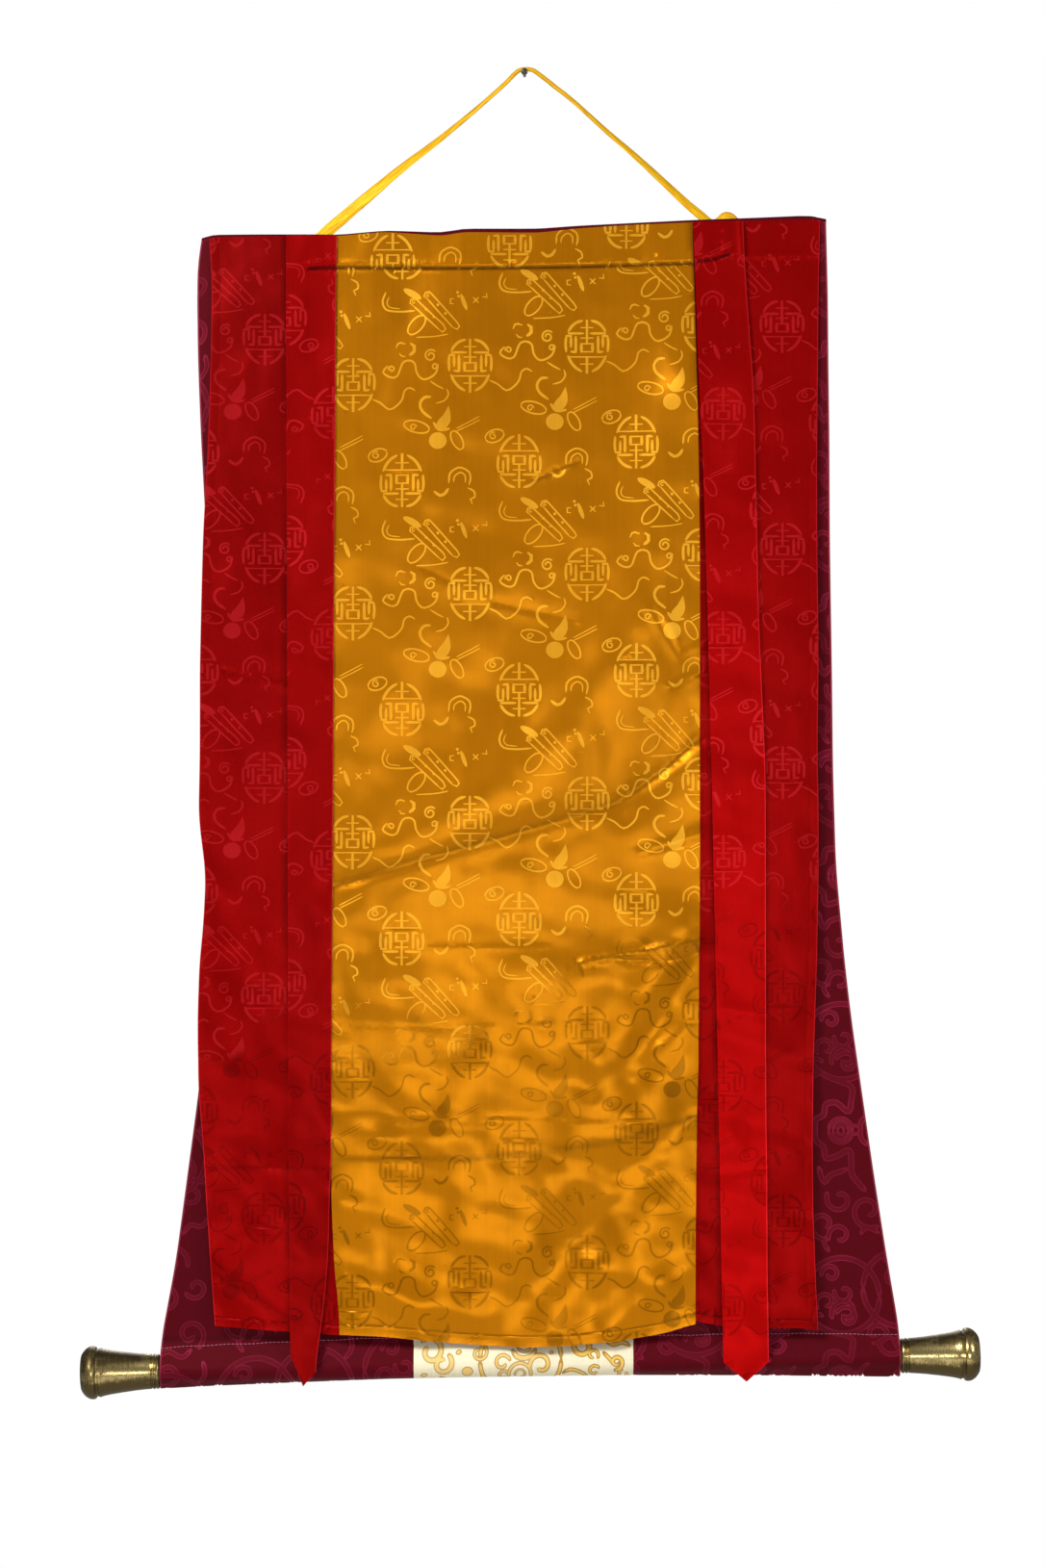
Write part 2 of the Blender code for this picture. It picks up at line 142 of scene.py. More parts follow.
COVER_SIDES = Table(
    "z left right",
    (-156, -329, 308), (-226, -325, 306), (-326, -327, 305), (-406, -330, 304), (-486, -334, 304),
    (-566, -336, 305), (-626, -337, 305), (-706, -337, 304), (-776, -338, 305), (-836, -330, 305),
    (-886, -333, 304), (-926, -337, 303), (-986, -339, 301), (-1056, -338, 299), (-1126, -332, 298.5),
    (-1196, -328, 299.5), (-1266, -323, 302), (-1304, -320, 304),
)
COVER_SEAMS = Table(
    "z left right",
    (-166, -195, 175), (-226, -196, 177), (-326, -197, 179), (-426, -198, 181), (-526, -199, 182),
    (-826, -199, 182), (-1026, -200, 180), (-1126, -201, 178), (-1226, -197.5, 177), (-1250, -196, 177),
    (-1278, -192.5, 177), (-1310, -191, 177),
)
COVER_HEAD = Table(
    "x below",
    (-332, 3), (-248, 2), (-145, 2), (-85, 4.5), (15, 5), (55, 3.5), (105, 2.5), (175, 3), (245, 3.6), (296, 4.6),
    (312, 3),
)
CENTRE_HEM = Table(
    "x z",
    (-193, -1310), (-145, -1312), (-115, -1315), (-65, -1320), (-15, -1323), (35, -1322), (95, -1317),
    (145, -1309), (177, -1298),
)
SIDE_HEM = Table(
    "x z",
    (-322, -1301), (-193, -1311), (172, -1295), (200, -1301), (255, -1303.5), (285, -1303), (305, -1305.5),
)
LEFT_RIBBON = Table(
    "z left right",
    (-168, -248, -195), (-226, -248, -196), (-426, -247, -197), (-1126, -244, -200), (-1235, -243, -203),
    (-1296, -243, -209), (-1347, -241, -217),
)
RIGHT_RIBBON = Table(
    "z left right",
    (-158, 175, 227), (-216, 178, 230), (-326, 181, 238), (-406, 185, 240), (-566, 190, 243),
    (-726, 194, 250), (-1026, 200, 250), (-1306, 205, 252), (-1338, 206, 253),
)
LEFT_RIBBON_TIP = (-1332.0, -1348.0, -1363.0)
RIGHT_RIBBON_TIP = (-1338.0, -1338.0, -1358.0)

# How far the cover hangs in front of the mount cloth, down its height
COVER_STAND_OFF = Table(
    "z off", (-150, 1.7), (-205, 3.2), (-400, 6.0), (-800, 9.0), (-1100, 10.0), (-1363, 12.0)
)

# The cover's long soft folds: a line of points across its face, how far the fold reaches to either side
# and how far it stands forward, or back where that is below zero
COVER_FOLDS = (
    (((175, -340), (145, -486), (95, -626), (15, -726), (-125, -826)), 54, 10.5),
    (((182, -690), (95, -766), (-5, -796), (-190, -849)), 22, -4.0),
    (((-60, -190), (-95, -420), (-60, -640)), 70, 2.4),
    (((-130, -930), (0, -960), (130, -930)), 75, 5.0),
    (((-150, -1110), (20, -1130), (150, -1090)), 60, 4.0),
    (((-8, -1295), (69, -1197), (111, -1144), (174, -1074)), 26, -4.5),
    (((33, -1275), (111, -1215), (178, -1130)), 24, 3.5),
    (((90, -1300), (177, -1235)), 16, 3.4),
    (((111, -1043), (140, -985), (178, -923)), 15, -4.0),
    (((80, -1030), (120, -960), (165, -890)), 18, 3.4),
    (((-185, -1245), (-120, -1275), (-40, -1290)), 16, 2.6),
    (((-330, -836), (-285, -900), (-262, -1010)), 32, 4.5),
    (((-300, -480), (-290, -700)), 30, 2.6),
    (((275, -420), (280, -760), (270, -1150)), 26, 2.8),
    (((-305, -1250), (-255, -1290)), 20, 2.6),
)

# The tuck across the head of the middle panel, and the cover's sharp creases, as the folds above
TUCK = (
    (-224, -205), (-195, -203.5), (-60, -204.5), (15, -203.5), (60, -202.5), (175, -199), (200, -194.5), (214, -190),
)
COVER_CREASES = (
    (TUCK, 1.7, -1.6),
    (tuple((x, z + 4.5) for x, z in TUCK), 2.8, 0.9),
    (((206, -191), (305, -189)), 3.0, 1.2),
    (((-196, -845), (-120, -822), (-5, -790), (95, -760), (140, -729), (181, -694)), 6.0, -1.6),
    (((-196, -856), (-120, -834), (-5, -803), (95, -774), (140, -743), (181, -708)), 7.0, 0.4),
    (((60, -925), (120, -914), (180, -902)), 4.0, 1.4),
    (((95, -921), (140, -926), (180, -914)), 3.0, -1.3),
    (((150, -640), (182, -625)), 4.0, 1.2),
    (((120, -812), (182, -792)), 5.0, 1.5),
    (((130, -560), (160, -610), (180, -600)), 6.0, 1.2),
    (((-190, -907), (-80, -911), (25, -909)), 3.0, 0.5),
    (((-190, -990), (-60, -993), (60, -988)), 2.8, 0.4),
    (((-140, -1091), (-40, -1089), (100, -1093), (170, -1088)), 3.4, 0.55),
    (((-190, -1124), (-60, -1128), (0, -1125)), 2.8, 0.4),
    (((70, -1072), (120, -1030), (172, -990)), 9.0, 1.4),
    (((55, -1192), (110, -1150), (172, -1108)), 9.0, 1.5),
    (((10, -426), (55, -406)), 3.0, -0.7),
    (((-105, -516), (-75, -531)), 2.6, -0.8),
    (((-30, -551), (55, -571)), 4.5, -0.9),
    (((204, -156), (203, -186)), 2.2, -0.7),
    (((224, -156), (226, -188)), 3.4, 0.7),
    (((-311, -622), (-248, -640)), 2.6, 1.0),
    (((-327, -1137), (-200, -1139)), 2.4, -0.35),
    (((-312, -1254), (-285, -1268), (-250, -1293)), 7.0, -2.0),
    (((206, -972), (247, -980)), 6.0, 1.1),
    (((208, -1143), (248, -1137)), 5.0, 1.0),
)

# The mesh follows each crease in rows beside it, at these shares of its reach. The points of a row are so
# far apart, on the sharpest creases and on the others
CREASE_ROWS = (-1.8, -1.1, -0.55, 0.0, 0.55, 1.1, 1.8)
CREASE_STEPS = (3.0, 9.0)
SHARPEST_REACH = 2.0
CREASE_MARGIN = 1.2

# Painted shade in creases: a line of points, its reach, and how much darker the silk is there
PAINTED_CREASE_SHADE = (
    (TUCK, 1.9, 0.80),
    (((-327, -1137), (-200, -1139)), 1.5, 0.30),
    (((60, -925), (120, -914), (180, -902)), 1.5, 0.35),
    (((-196, -845), (-120, -822), (-5, -790), (95, -760), (140, -729), (181, -694)), 3.6, 0.34),
    (((10, -426), (55, -406)), 2.6, 0.30),
    (((-190, -1130), (0, -1125), (100, -1108), (178, -1085)), 3.6, 0.30),
    (((-312, -1254), (-285, -1268), (-250, -1293)), 4.0, 0.25),
)
# How dark the painted shadow beside each ribbon's left edge is, and the most painted shade anywhere
RIBBON_PAINTED_SHADOW = 0.42
MOST_PAINTED_SHADE = 0.82

# Lines where the cover lay folded in store: it bends there, forward and back in turn, and less to the right
PRESSED = Table(
    "z forward", (-850, 0), (-907, -1.2), (-948, 1.2), (-986, -1.0), (-1034, 1.5), (-1083, -1.5), (-1106, 0.8),
    (-1130, -1.7), (-1175, 1.5), (-1240, 0), (-1400, 0),
)
PRESSED_SHARE = Table("x share", (-212, 0.4), (-200, 1), (0, 1), (130, 0))

# Small waves of the hanging silk: turns a metre across and down, where each begins, and its height. The
# waves grow from the head to the foot
SILK_WAVE_SHARE = Table("z share", (-1080, 2.7), (-820, 0.8), (-222, 0.8), (-162, 0))
SILK_WAVES = (
    (7.0, 3.0, 0.4, 0.55), (-5.0, 6.0, 2.1, 0.50), (11.0, -2.0, 4.0, 0.30), (3.0, 13.0, 1.2, 0.34),
    (-14.0, 7.0, 5.2, 0.20), (19.0, 9.0, 0.9, 0.13), (6.0, 24.0, 3.3, 0.12), (-22.0, -15.0, 2.7, 0.09),
    (31.0, 6.0, 1.9, 0.05), (13.0, 37.0, 0.2, 0.06),
)

# The hanging cord's middle line: the left end behind the top sleeve, over the nail, and the right end
CORD_WIDTH = 12.0
CORD_ROUTE = (
    (-228, -4.2, -197), (-225, -4.2, -188), (-220, -4.2, -178), (-210, -4.4, -167.5), (-188, -5.0, -148),
    (-166, -5.6, -129.5), (-126, -7.0, -96.5), (-91, -8.4, -69.8), (-56, -9.8, -41.5), (-33, -10.7, -21.8),
    (-20.5, -11.2, -10.6), (-8.9, -11.8, 0.9), (-3.8, -12.0, 3.7), (2, -12.0, 4.5), (7.8, -12.0, 3.7),
    (12.9, -11.9, 0.9), (31, -11.2, -12.9), (50, -10.5, -27.8), (89.5, -8.9, -63), (120.4, -7.6, -89.4),
    (151.2, -6.2, -118), (173.2, -5.2, -137.8), (185, -4.7, -147.5), (192, -4.4, -153.5), (198, -4.3, -156),
    (204, -4.2, -152.5), (209, -4.2, -147.5), (214, -4.2, -147.2), (220, -4.2, -152), (226, -4.2, -162),
    (231, -4.2, -176),
)

# The cord along its way from the left end: how far its flat side turns from the viewer, in degrees, and
# its width and its thickness
CORD_TURNS = Table(
    "along turn width thick",
    (0, 0, 12, 2.6), (60, 6, 12.4, 2.6), (110, 26, 12, 2.8), (170, 48, 11.5, 3.0), (240, 62, 10, 3.4),
    (290, 72, 8, 4.2), (330, 72, 7.6, 4.4), (400, 62, 9, 3.6), (500, 44, 11, 3.0), (560, 30, 11.5, 2.8),
    (600, 46, 9.5, 3.2), (640, 20, 10, 2.8), (720, 5, 11, 2.6),
)

# Half of a knob's section: how far from its inner end, and how far from its middle
KNOB_PROFILE = (
    (31.0, 0.0), (31.0, 11.4), (0.0, 11.4), (0.0, 17.0), (0.4, 17.5), (1.2, 17.9), (2.6, 18.0), (3.3, 17.0),
    (4.0, 17.0), (4.7, 18.1), (6.1, 18.1), (6.8, 17.1), (7.5, 17.1), (8.3, 18.0), (12.0, 18.15), (20.0, 18.8),
    (26.0, 19.4), (32.0, 20.2), (38.0, 20.9), (44.0, 21.8), (50.0, 22.7), (55.0, 23.6), (59.0, 24.6),
    (61.0, 25.3), (61.8, 25.4), (62.5, 24.5), (64.4, 24.6), (65.2, 25.3), (65.8, 26.6), (67.0, 27.2),
    (69.0, 27.4), (71.2, 27.2), (73.8, 26.2), (76.2, 24.6), (78.3, 22.4), (79.8, 20.3), (80.7, 18.6),
    (80.9, 17.6), (80.5, 16.6), (79.6, 15.9), (79.2, 12.0), (79.4, 5.0), (79.5, 0.0),
)

# What a patch of woven cloth shows; the edge level is a painted highlight on a folded edge
GROUND, FIGURE, CORE, EDGE_HIGHLIGHT = 0, 1, 2, 3

# The damask's fret roundel: the bars and arcs of its right half and of its middle
ROUNDEL_MIDDLE = (
    (4.6, (0, 11), (0, 28)), (2.3, (-7, 18), (7, 18)), (2.3, (-20, 10.6), (20, 10.6)),
    (2.6, (-7, 5.2), (7, 5.2)), (2.6, (-7, -3.2), (7, -3.2)), (4.0, (0, -3.4), (0, -28.2)),
    (2.3, (-6.8, -9.2), (6.8, -9.2)), (2.2, (-6.6, -20), (6.6, -20)),
)
ROUNDEL_SIDE = (
    (2.6, (5.8, -4), (5.8, 6)), (2.2, (3, -14), (20, -14)), (2.5, (11.6, 6.4), (11.6, -11.4)),
    (2.4, (10.4, 5.6), (17.2, 5.0)), (2.4, (16.6, 1), (16.6, -11.4)), (2.4, (15.5, -11.4), (22.2, -11.4)),
    (2.4, (21.4, -11.6), (22.2, -4), (21.6, 5.6)),
    (2.6, (20, 9), (16.6, 16), (11.6, 22), (5, 26)),
    (2.6, (19.6, -15.5), (15.8, -21.3), (10.6, -25.5), (4.2, -27.4)),
)
ROUNDEL_PARTNER = (51.0, -99.0)

# The damask's small motifs between the roundels: lines (width, places), rings (width, middle, half sizes
# and turn), curls (width, middle, outer and inner radius, where they start and how far they wind) and
# filled drops (middle, half sizes and turn). Turns are in degrees
DAMASK_LINES = (
    (2, (-87.5, 77), (-91, 67), (-87, 58.5), (-73.5, 56.5), (-57.5, 57.5)),
    (1.2, (-84, 72), (-86.5, 66), (-83.5, 61), (-72.5, 59.5)),
    (1.7, (-59.5, 63), (-62.5, 65.5), (-61.5, 69.5), (-57.5, 70.5), (-54.5, 68), (-41.5, 55.5), (-27.5, 42.5),
     (-25.5, 38), (-28.5, 35), (-32, 37.5)),
    (1.7, (-59.5, 63), (-46.5, 51), (-32, 37.5)),
    (1.7, (-45, 70.5), (-48, 72.5), (-46.5, 76.5), (-42.5, 77.5), (-40, 75), (-26.5, 60), (-13, 44.5), (-11, 41),
     (-13.5, 38), (-18, 40)),
    (1.7, (-45, 70.5), (-32, 55.5), (-18, 40)),
    (1.4, (-56, 29.5), (-37, 30.5), (-22.5, 33)),
    (1.8, (12.5, 72), (17.5, 71.5), (17, 76)),
    (1.8, (-16.5, 70), (-20.5, 69.5), (-20.5, 65), (-16.5, 64.5)),
    (1.8, (3, 71.5), (9, 65.5)),
    (1.8, (9, 71.5), (3, 65.5)),
    (2, (-77, 18.5), (-75, 23), (-72, 24), (-67, 22.5)),
    (3.6, (-62, 23.5), (-58, 20.5), (-58, 15), (-63, 11)),
    (1.8, (-73.5, 13), (-71, 10), (-67, 9.5)),
    (2.2, (-85.5, 0), (-90.5, -6.5), (-83, -12), (-76, -11), (-72, -1.5), (-69, 4), (-63, 5.5), (-57.5, 2.5),
     (-55.5, -7), (-50.5, -13.5), (-44, -13.5), (-36, -8), (-33, 1.5)),
    (1.8, (-41.5, -16), (-34.5, -20.5), (-27.5, -24)),
    (1.8, (-24, -24), (-22.5, -30), (-27, -36.5), (-35.5, -39)),
    (2, (-101.5, -35), (-93.5, -38.5), (-84, -45.5), (-76, -41.5), (-70.5, -35), (-68, -26), (-62.5, -23),
     (-57, -26)),
    (3, (-40.5, -32.5), (-47.5, -33), (-52, -39.5), (-49.5, -47.5), (-40, -55)),
    (3.2, (-38, -59), (-32, -66.5), (-21, -65.5)),
    (1.3, (-14.5, -65.5), (-2, -59), (10, -52.5)),
    (1.3, (-14.5, -68.5), (-1, -62), (10.5, -56)),
    (2, (-22, -122), (-21, -112.5), (-15.5, -107.5), (-9, -106), (-1, -110.5), (0.5, -117), (-1, -124)),
    (1.6, (-17, -121), (-16, -115), (-10, -111), (-5, -114.5), (-5, -122)),
    (3.2, (-37.5, -130.5), (-31.5, -135), (-26, -133), (-22.5, -127.5)),
    (2, (-2.5, -127), (4, -130.5), (5, -136.5), (0.5, -139), (2.5, -144)),
)
DAMASK_RINGS = (
    (1.8, -55.5, 42.5, 12.2, 6.2, 49), (1.8, -55.5, -63.5, 13.5, 6, -14), (1.8, -96, -93, 10, 6.4, 20),
    (1.8, -13.5, -77.5, 10.5, 5.2, -62),
)
DAMASK_CURLS = (
    (2, -41, 10.5, 6.6, 1.8, 40, 520), (1.5, -59, -64, 3.6, 1.2, 0, 400), (1.6, -97.5, -93, 4.2, 1.2, 60, 430),
    (1.8, -81.5, -3.5, 3.6, 1.2, 200, -420), (1.8, -36.5, -1, 3.4, 1.2, 0, 420),
    (1.2, -58.5, 66.5, 2.3, 0.6, 45, 330), (1.2, -43.5, 73.5, 2.3, 0.6, 45, 330),
)
DAMASK_DROPS = (
    (-60, 75, 10.5, 3.6, -29), (-6.5, 66.5, 9, 2.2, -70), (-33.5, -78, 9.3, 8.8, 0),
    (-13, 76.5, 1.7, 1.5, 0), (-12, 72.5, 1.6, 1.4, 0), (-45.5, 59, 1.5, 1.5, 0), (-37.5, 51, 1.5, 1.5, 0),
    (-33.5, 63.5, 1.5, 1.5, 0), (-25.5, 54.5, 1.5, 1.5, 0),
)
DAMASK_BULB = (
    (-22.3, -41.5), (-20.5, -49), (-20.2, -56), (-22.5, -62), (-27, -65.5), (-32.5, -65.5), (-35, -61.5), (-33, -57),
    (-28.5, -52), (-25, -46.5), (-22.3, -41.5),
)
ROUNDEL_WEIGHT = 1.18
STROKE_STEP = 3.7
NEAR_OUTLINE = 1.8

# Where the damask's first roundel lies on each cloth, its repeat down the cloth, and whether it is turned
DAMASK_ACROSS = (121.5, 20.0)
DAMASK_DOWN = 237.5
DAMASK_ON = {
    "cover_centre": (-178.0, -326.0, 237.5, 1),
    "cover_left": (-270.0, -278.5, 228.0, 1),
    "cover_right": (268.0, -265.0, 232.0, 1),
    "ribbon_left": (-198.5, -355.0, 230.0, -1),
    "ribbon_right": (206.0, -357.0, 232.0, 1),
}

# How far the figures above the tuck have slipped, and how far down they are drawn slipped
TUCK_SLIP = (-10.0, -8.0)
SLIP_LEVEL = -220.0

# The figure's painted sheen turns it darker than the ground from this far below the nail, over this drop and later
# to the right
SHEEN_TURN_FROM = 780.0
SHEEN_TURN_OVER = 330.0
SHEEN_TURN_SLANT = 0.3

# Which sides of each cloth get a painted highlight on a folded edge: 0 is the left one and -1 the right one
BRIGHT_EDGES = {
    "cover_centre": (), "cover_left": (0,), "cover_right": (-1,), "ribbon_left": (-1,), "ribbon_right": (-1,),
}
COVER_EDGE_WIDTH = 0.9
MOUNT_EDGE_WIDTH = 1.6

# Painted light and shade: how light each cloth is painted at its head and at its foot
CLOTH_PAINTED_LIGHT = {
    "cover_centre": (0.91, 1.08), "cover_left": (0.67, 1.07), "cover_right": (0.88, 1.0),
    "ribbon_left": (0.92, 0.88), "ribbon_right": (0.90, 1.60),
}

# The maroon brocade's clouds, drawn as double lines: curls, lines and rings, as in the damask
CLOUD_CURLS = (
    (5.4, 6.4, 104.3, 14.5, 4, 150, 340), (5.6, 36, 93, 19, 3.6, -55, -400), (5.2, -10.2, 78, 16, 3.4, -75, -350),
    (5.2, 6.4, 66.6, 12.5, 3.4, 205, -330), (5.0, -3, 27, 10, 2.8, 195, -380), (5.0, 10.8, 8, 10.5, 3.2, 160, 340),
    (5.0, -8, -2, 11, 3.4, 225, -330), (5.0, 14, -17.4, 12, 3.4, 165, -370), (5.2, -20, -25, 12, 3.2, 40, 360),
    (5.6, 68, 52, 17, 3.6, 190, 400), (5.4, 84, 0, 14, 3.4, 80, -380), (5.6, 72, 168, 18, 3.6, -20, 410),
    (5.4, 58, 214, 17, 3.4, 10, -410), (5.4, 44, -34, 15, 3.4, 250, 400), (5.4, 92, 92, 16, 3.4, 300, 400),
    (5.2, 94, 238, 16, 3.4, 40, 410), (5.2, 62, 24, 10, 3, 20, 360), (5.2, 66, 128, 15, 3.4, 120, -380),
    (5.2, 98, 140, 12, 3.2, 200, 360), (5.4, 12, 250, 15, 3.4, 210, -360), (5.2, 74, -50, 14, 3.4, 30, 390),
)
CLOUD_LINES = (
    (6.4, (-12.5, 233.7), (0, 228), (12, 224), (19.6, 219), (18.5, 206), (16.3, 195), (10, 198), (3, 203.8),
     (-8, 201.6), (-10.2, 190.5), (-18, 186), (-19.5, 175), (-18, 164), (-10.2, 157.4), (-8, 146.3), (3, 148.5),
     (16.3, 155), (18.5, 143), (19, 130.8), (26, 121), (34, 113)),
    (5.8, (15, 136), (8, 133), (-3.6, 128.6), (-9, 121), (-13, 127), (-15.5, 138)),
    (5.4, (36, 192), (29, 185), (28, 176), (29, 167), (36, 160)), (5.0, (28, 68), (33, 76), (40, 74), (48, 70)),
    (5.2, (-4, 50), (-10, 58), (-8, 66)), (5.2, (56, 70), (70, 76), (84, 70), (94, 78)),
    (5.0, (50, 150), (58, 158), (60, 170)), (5.2, (84, 196), (92, 206), (104, 204), (112, 214)),
    (5.2, (100, 40), (108, 52), (106, 66)),
)
CLOUD_RINGS = (
    (6.0, 8.6, 4.7, 39, 39, 0), (6.0, 69.4, 13.5, 39, 39, 0), (3.6, 7.5, 175, 12.5, 13, 0),
    (3.4, 7.5, 175, 8, 9, 0), (3.2, 7.5, 175, 3.4, 4.4, 0), (3.4, 23, 176, 5, 4.4, 0),
)
CLOUD_ACROSS = (152.0, 24.0)
CLOUD_DOWN = 262.0
CLOUD_FIRST = (321.0, -1276.0)
CLOUD_BAND = 1.1

# The ivory brocade's gold clouds, drawn where they show between the cover's hem and the rod
GOLD_CURLS = (
    (6.0, -97, -1327, 14, 4.5, 140, -380), (6.0, -85, -1339, 11, 3.4, 60, -370),
    (4.2, -47, -1329, 9, 2.8, 60, -330), (4.4, -23, -1339, 8.5, 3.4, 10, 340),
    (4.2, -4, -1351, 12.5, 10.5, 200, -220), (3.0, -4, -1351, 6, 3.6, 200, -300),
    (5.4, 17, -1342, 12, 4, 200, -340), (6.0, 61, -1324, 11, 3.2, 120, 400), (4.0, 71, -1333, 6, 2.4, -40, 330),
    (5.0, 95, -1341, 8, 2.8, 250, 340), (4.0, 72, -1349, 6, 2.4, 20, 330), (4.0, -22, -1352, 5.4, 2.4, 10, 330),
    (4.0, 103, -1354, 6, 2.4, 100, 330),
)
GOLD_LINES = (
    (4.4, (81, -1330), (88, -1337), (95, -1344), (99, -1340)),
    (4.6, (39, -1351), (47, -1347), (58, -1350), (66, -1356)),
    (6.0, (-13, -1326), (-8, -1333), (0, -1335), (8, -1332), (12, -1325)),
    (4.0, (-8, -1324), (-3, -1328), (3, -1328), (7, -1324)), (4.8, (-88, -1352), (-80, -1357), (-70, -1357)),
    (5.4, (84, -1318), (92, -1323), (102, -1321), (110, -1325)), (4.0, (104, -1318), (110, -1314), (113, -1318)),
)
GOLD_RINGS = ((5.0, -4, -1336, 42, 42, 0),)
GOLD_DROPS = (
    (-68, -1328, 3.4, 2.6, 20), (-59, -1347, 6.2, 5.2, 0), (-43, -1353, 3, 2.2, 0), (73, -1357, 4, 2.6, 0),
    (-104, -1350, 4, 2.4, 10), (28, -1330, 2.6, 2, 0),
)
GOLD_BAND = 1.2

# Hems: their widths, how far a hem's step stands forward, how deep its sewn groove is, how much of both a
# narrow hem shows, and where the mesh has columns and rows beside the hem's line and at the head
SIDE_HEM_WIDTH = 9.0
CENTRE_HEM_WIDTH = 11.0
RIBBON_HEM_WIDTH = 3.0
HEM_STEP = 0.45
HEM_GROOVE = 0.6
NARROW_HEM_SHARE = 0.3
HEM_COLUMNS = (-2.4, -1.2, -0.5, 0.0, 0.5, 1.2, 2.6, 6.0)
HEM_ROWS = (2.6, 1.6, 0.9, 0.4, 0.0, -0.4, -0.9, -1.6, -2.6)
HEAD_ROWS = (0.0, 1.0, 3.0, 6.0, 9.0, 13.0)
NO_SIDE_HEM = 40.0

# Stitches along the sleeve: how far the line falls below the seam, their length and their pitch
STITCH_FALL = ((-377, 9), (-245, 5), (-115, 3), (113, 3), (390, 3))
STITCH_LENGTH = 3.0
STITCH_PITCH = 4.3
STITCH_SIDES = 6

# The camera, where it stands and how tall its picture is at that distance, in metres
CAMERA_PLACE = (-0.002, -4.025, -0.7405)
PICTURE_HEIGHT = 1.629
PICTURE_DISTANCE = 4.0
SENSOR_HEIGHT = 36.0
FLOOR_LEVEL = -2.2
FLOOR_CORNERS = ((-2.5, -3.5), (2.5, -3.5), (2.5, 2.5), (-2.5, 2.5))

# The lamps: a name, a place, a width and a height in metres, and a power in watts. All face the target
LAMPS = (
    ("softbox_above", (-1.7, -2.3, 1.2), (1.0, 1.0), 84.0),
    ("softbox_low", (0.2, -4.2, -1.2), (2.2, 0.40), 25.0),
    ("softbox_right", (2.3, -1.9, 0.3), (0.7, 1.3), 27.0),
    ("softbox_behind", (-0.4, 3.4, 0.3), (2.0, 1.6), 30.0),
)
LAMP_TARGET = (0.0, -0.02, -0.75)
WORLD_FILL = 0.20

# Rounds that settle a grid whose sides depend on its heights
SETTLING_ROUNDS = 4


class ThangkaSizes(bpy.types.PropertyGroup):
    """Sizes that a user may change."""

    cord_width: bpy.props.FloatProperty(
        name="Cord width", description="Width of the flat hanging cord", default=CORD_WIDTH * MM, unit="LENGTH"
    )
    cloth_step: bpy.props.FloatProperty(
        name="Cloth step", description="Size of the cloth's mesh between its woven figures", default=0.005,
        unit="LENGTH",
    )
    stitch_width: bpy.props.FloatProperty(
        name="Stitch width", description="Thickness of the sewing thread", default=0.0008, unit="LENGTH"
    )


def colour_property(name, description, default):
    """A colour that a user may change."""
    return bpy.props.FloatVectorProperty(
        name=name, description=description, default=default, subtype="COLOR", size=3, min=0.0, max=1.0
    )


class ThangkaColours(bpy.types.PropertyGroup):
    """Colours of the cloths and the metal."""

    yellow: colour_property("Yellow silk", "Ground of the middle panel", (0.545, 0.176, 0.0010))
    yellow_figure: colour_property("Yellow figure", "Woven figure of the middle panel", (0.93, 0.43, 0.024))
    red: colour_property("Red silk", "Ground of the side panels and ribbons", (0.315, 0.0003, 0.0004))
    red_figure: colour_property("Red figure", "Woven figure of the side panels", (0.47, 0.009, 0.012))
    ribbon_figure: colour_property("Ribbon figure", "Woven figure of the ribbons", (0.48, 0.009, 0.013))
    # Red edge is a painted highlight on the red silk's folded edges
    red_edge_highlight: colour_property("Red edge", "Folded edge of the red silk", (0.47, 0.009, 0.013))
    maroon: colour_property("Maroon brocade", "Ground of the mount", (0.104, 0.0001, 0.005))
    maroon_figure: colour_property("Maroon figure", "Clouds of the mount", (0.25, 0.010, 0.036))
    # Maroon edge is a painted highlight on the mount's folded edges
    maroon_edge_highlight: colour_property("Maroon edge", "Folded edge of the mount", (0.28, 0.03, 0.05))
    ivory: colour_property("Ivory brocade", "Ground of the pale panel", (1.0, 0.90, 0.63))
    gold: colour_property("Gold thread", "Clouds of the pale panel", (0.93, 0.60, 0.13))
    gold_line: colour_property("Gold outline", "Outline of the gold clouds", (0.50, 0.27, 0.035))
    cord: colour_property("Cord", "Silk of the hanging cord", (1.0, 0.58, 0.008))
    # Cord hollow is painted shade between the cord's strands
    cord_hollow_shade: colour_property("Cord hollow", "Between the cord's strands", (0.82, 0.37, 0.004))
    thread: colour_property("Thread", "Sewing thread of the mount", (0.44, 0.11, 0.19))
    brass: colour_property("Brass", "Bright brass of the knobs", (0.74, 0.57, 0.23))
    patina: colour_property("Patina", "Darkened brass", (0.115, 0.082, 0.032))


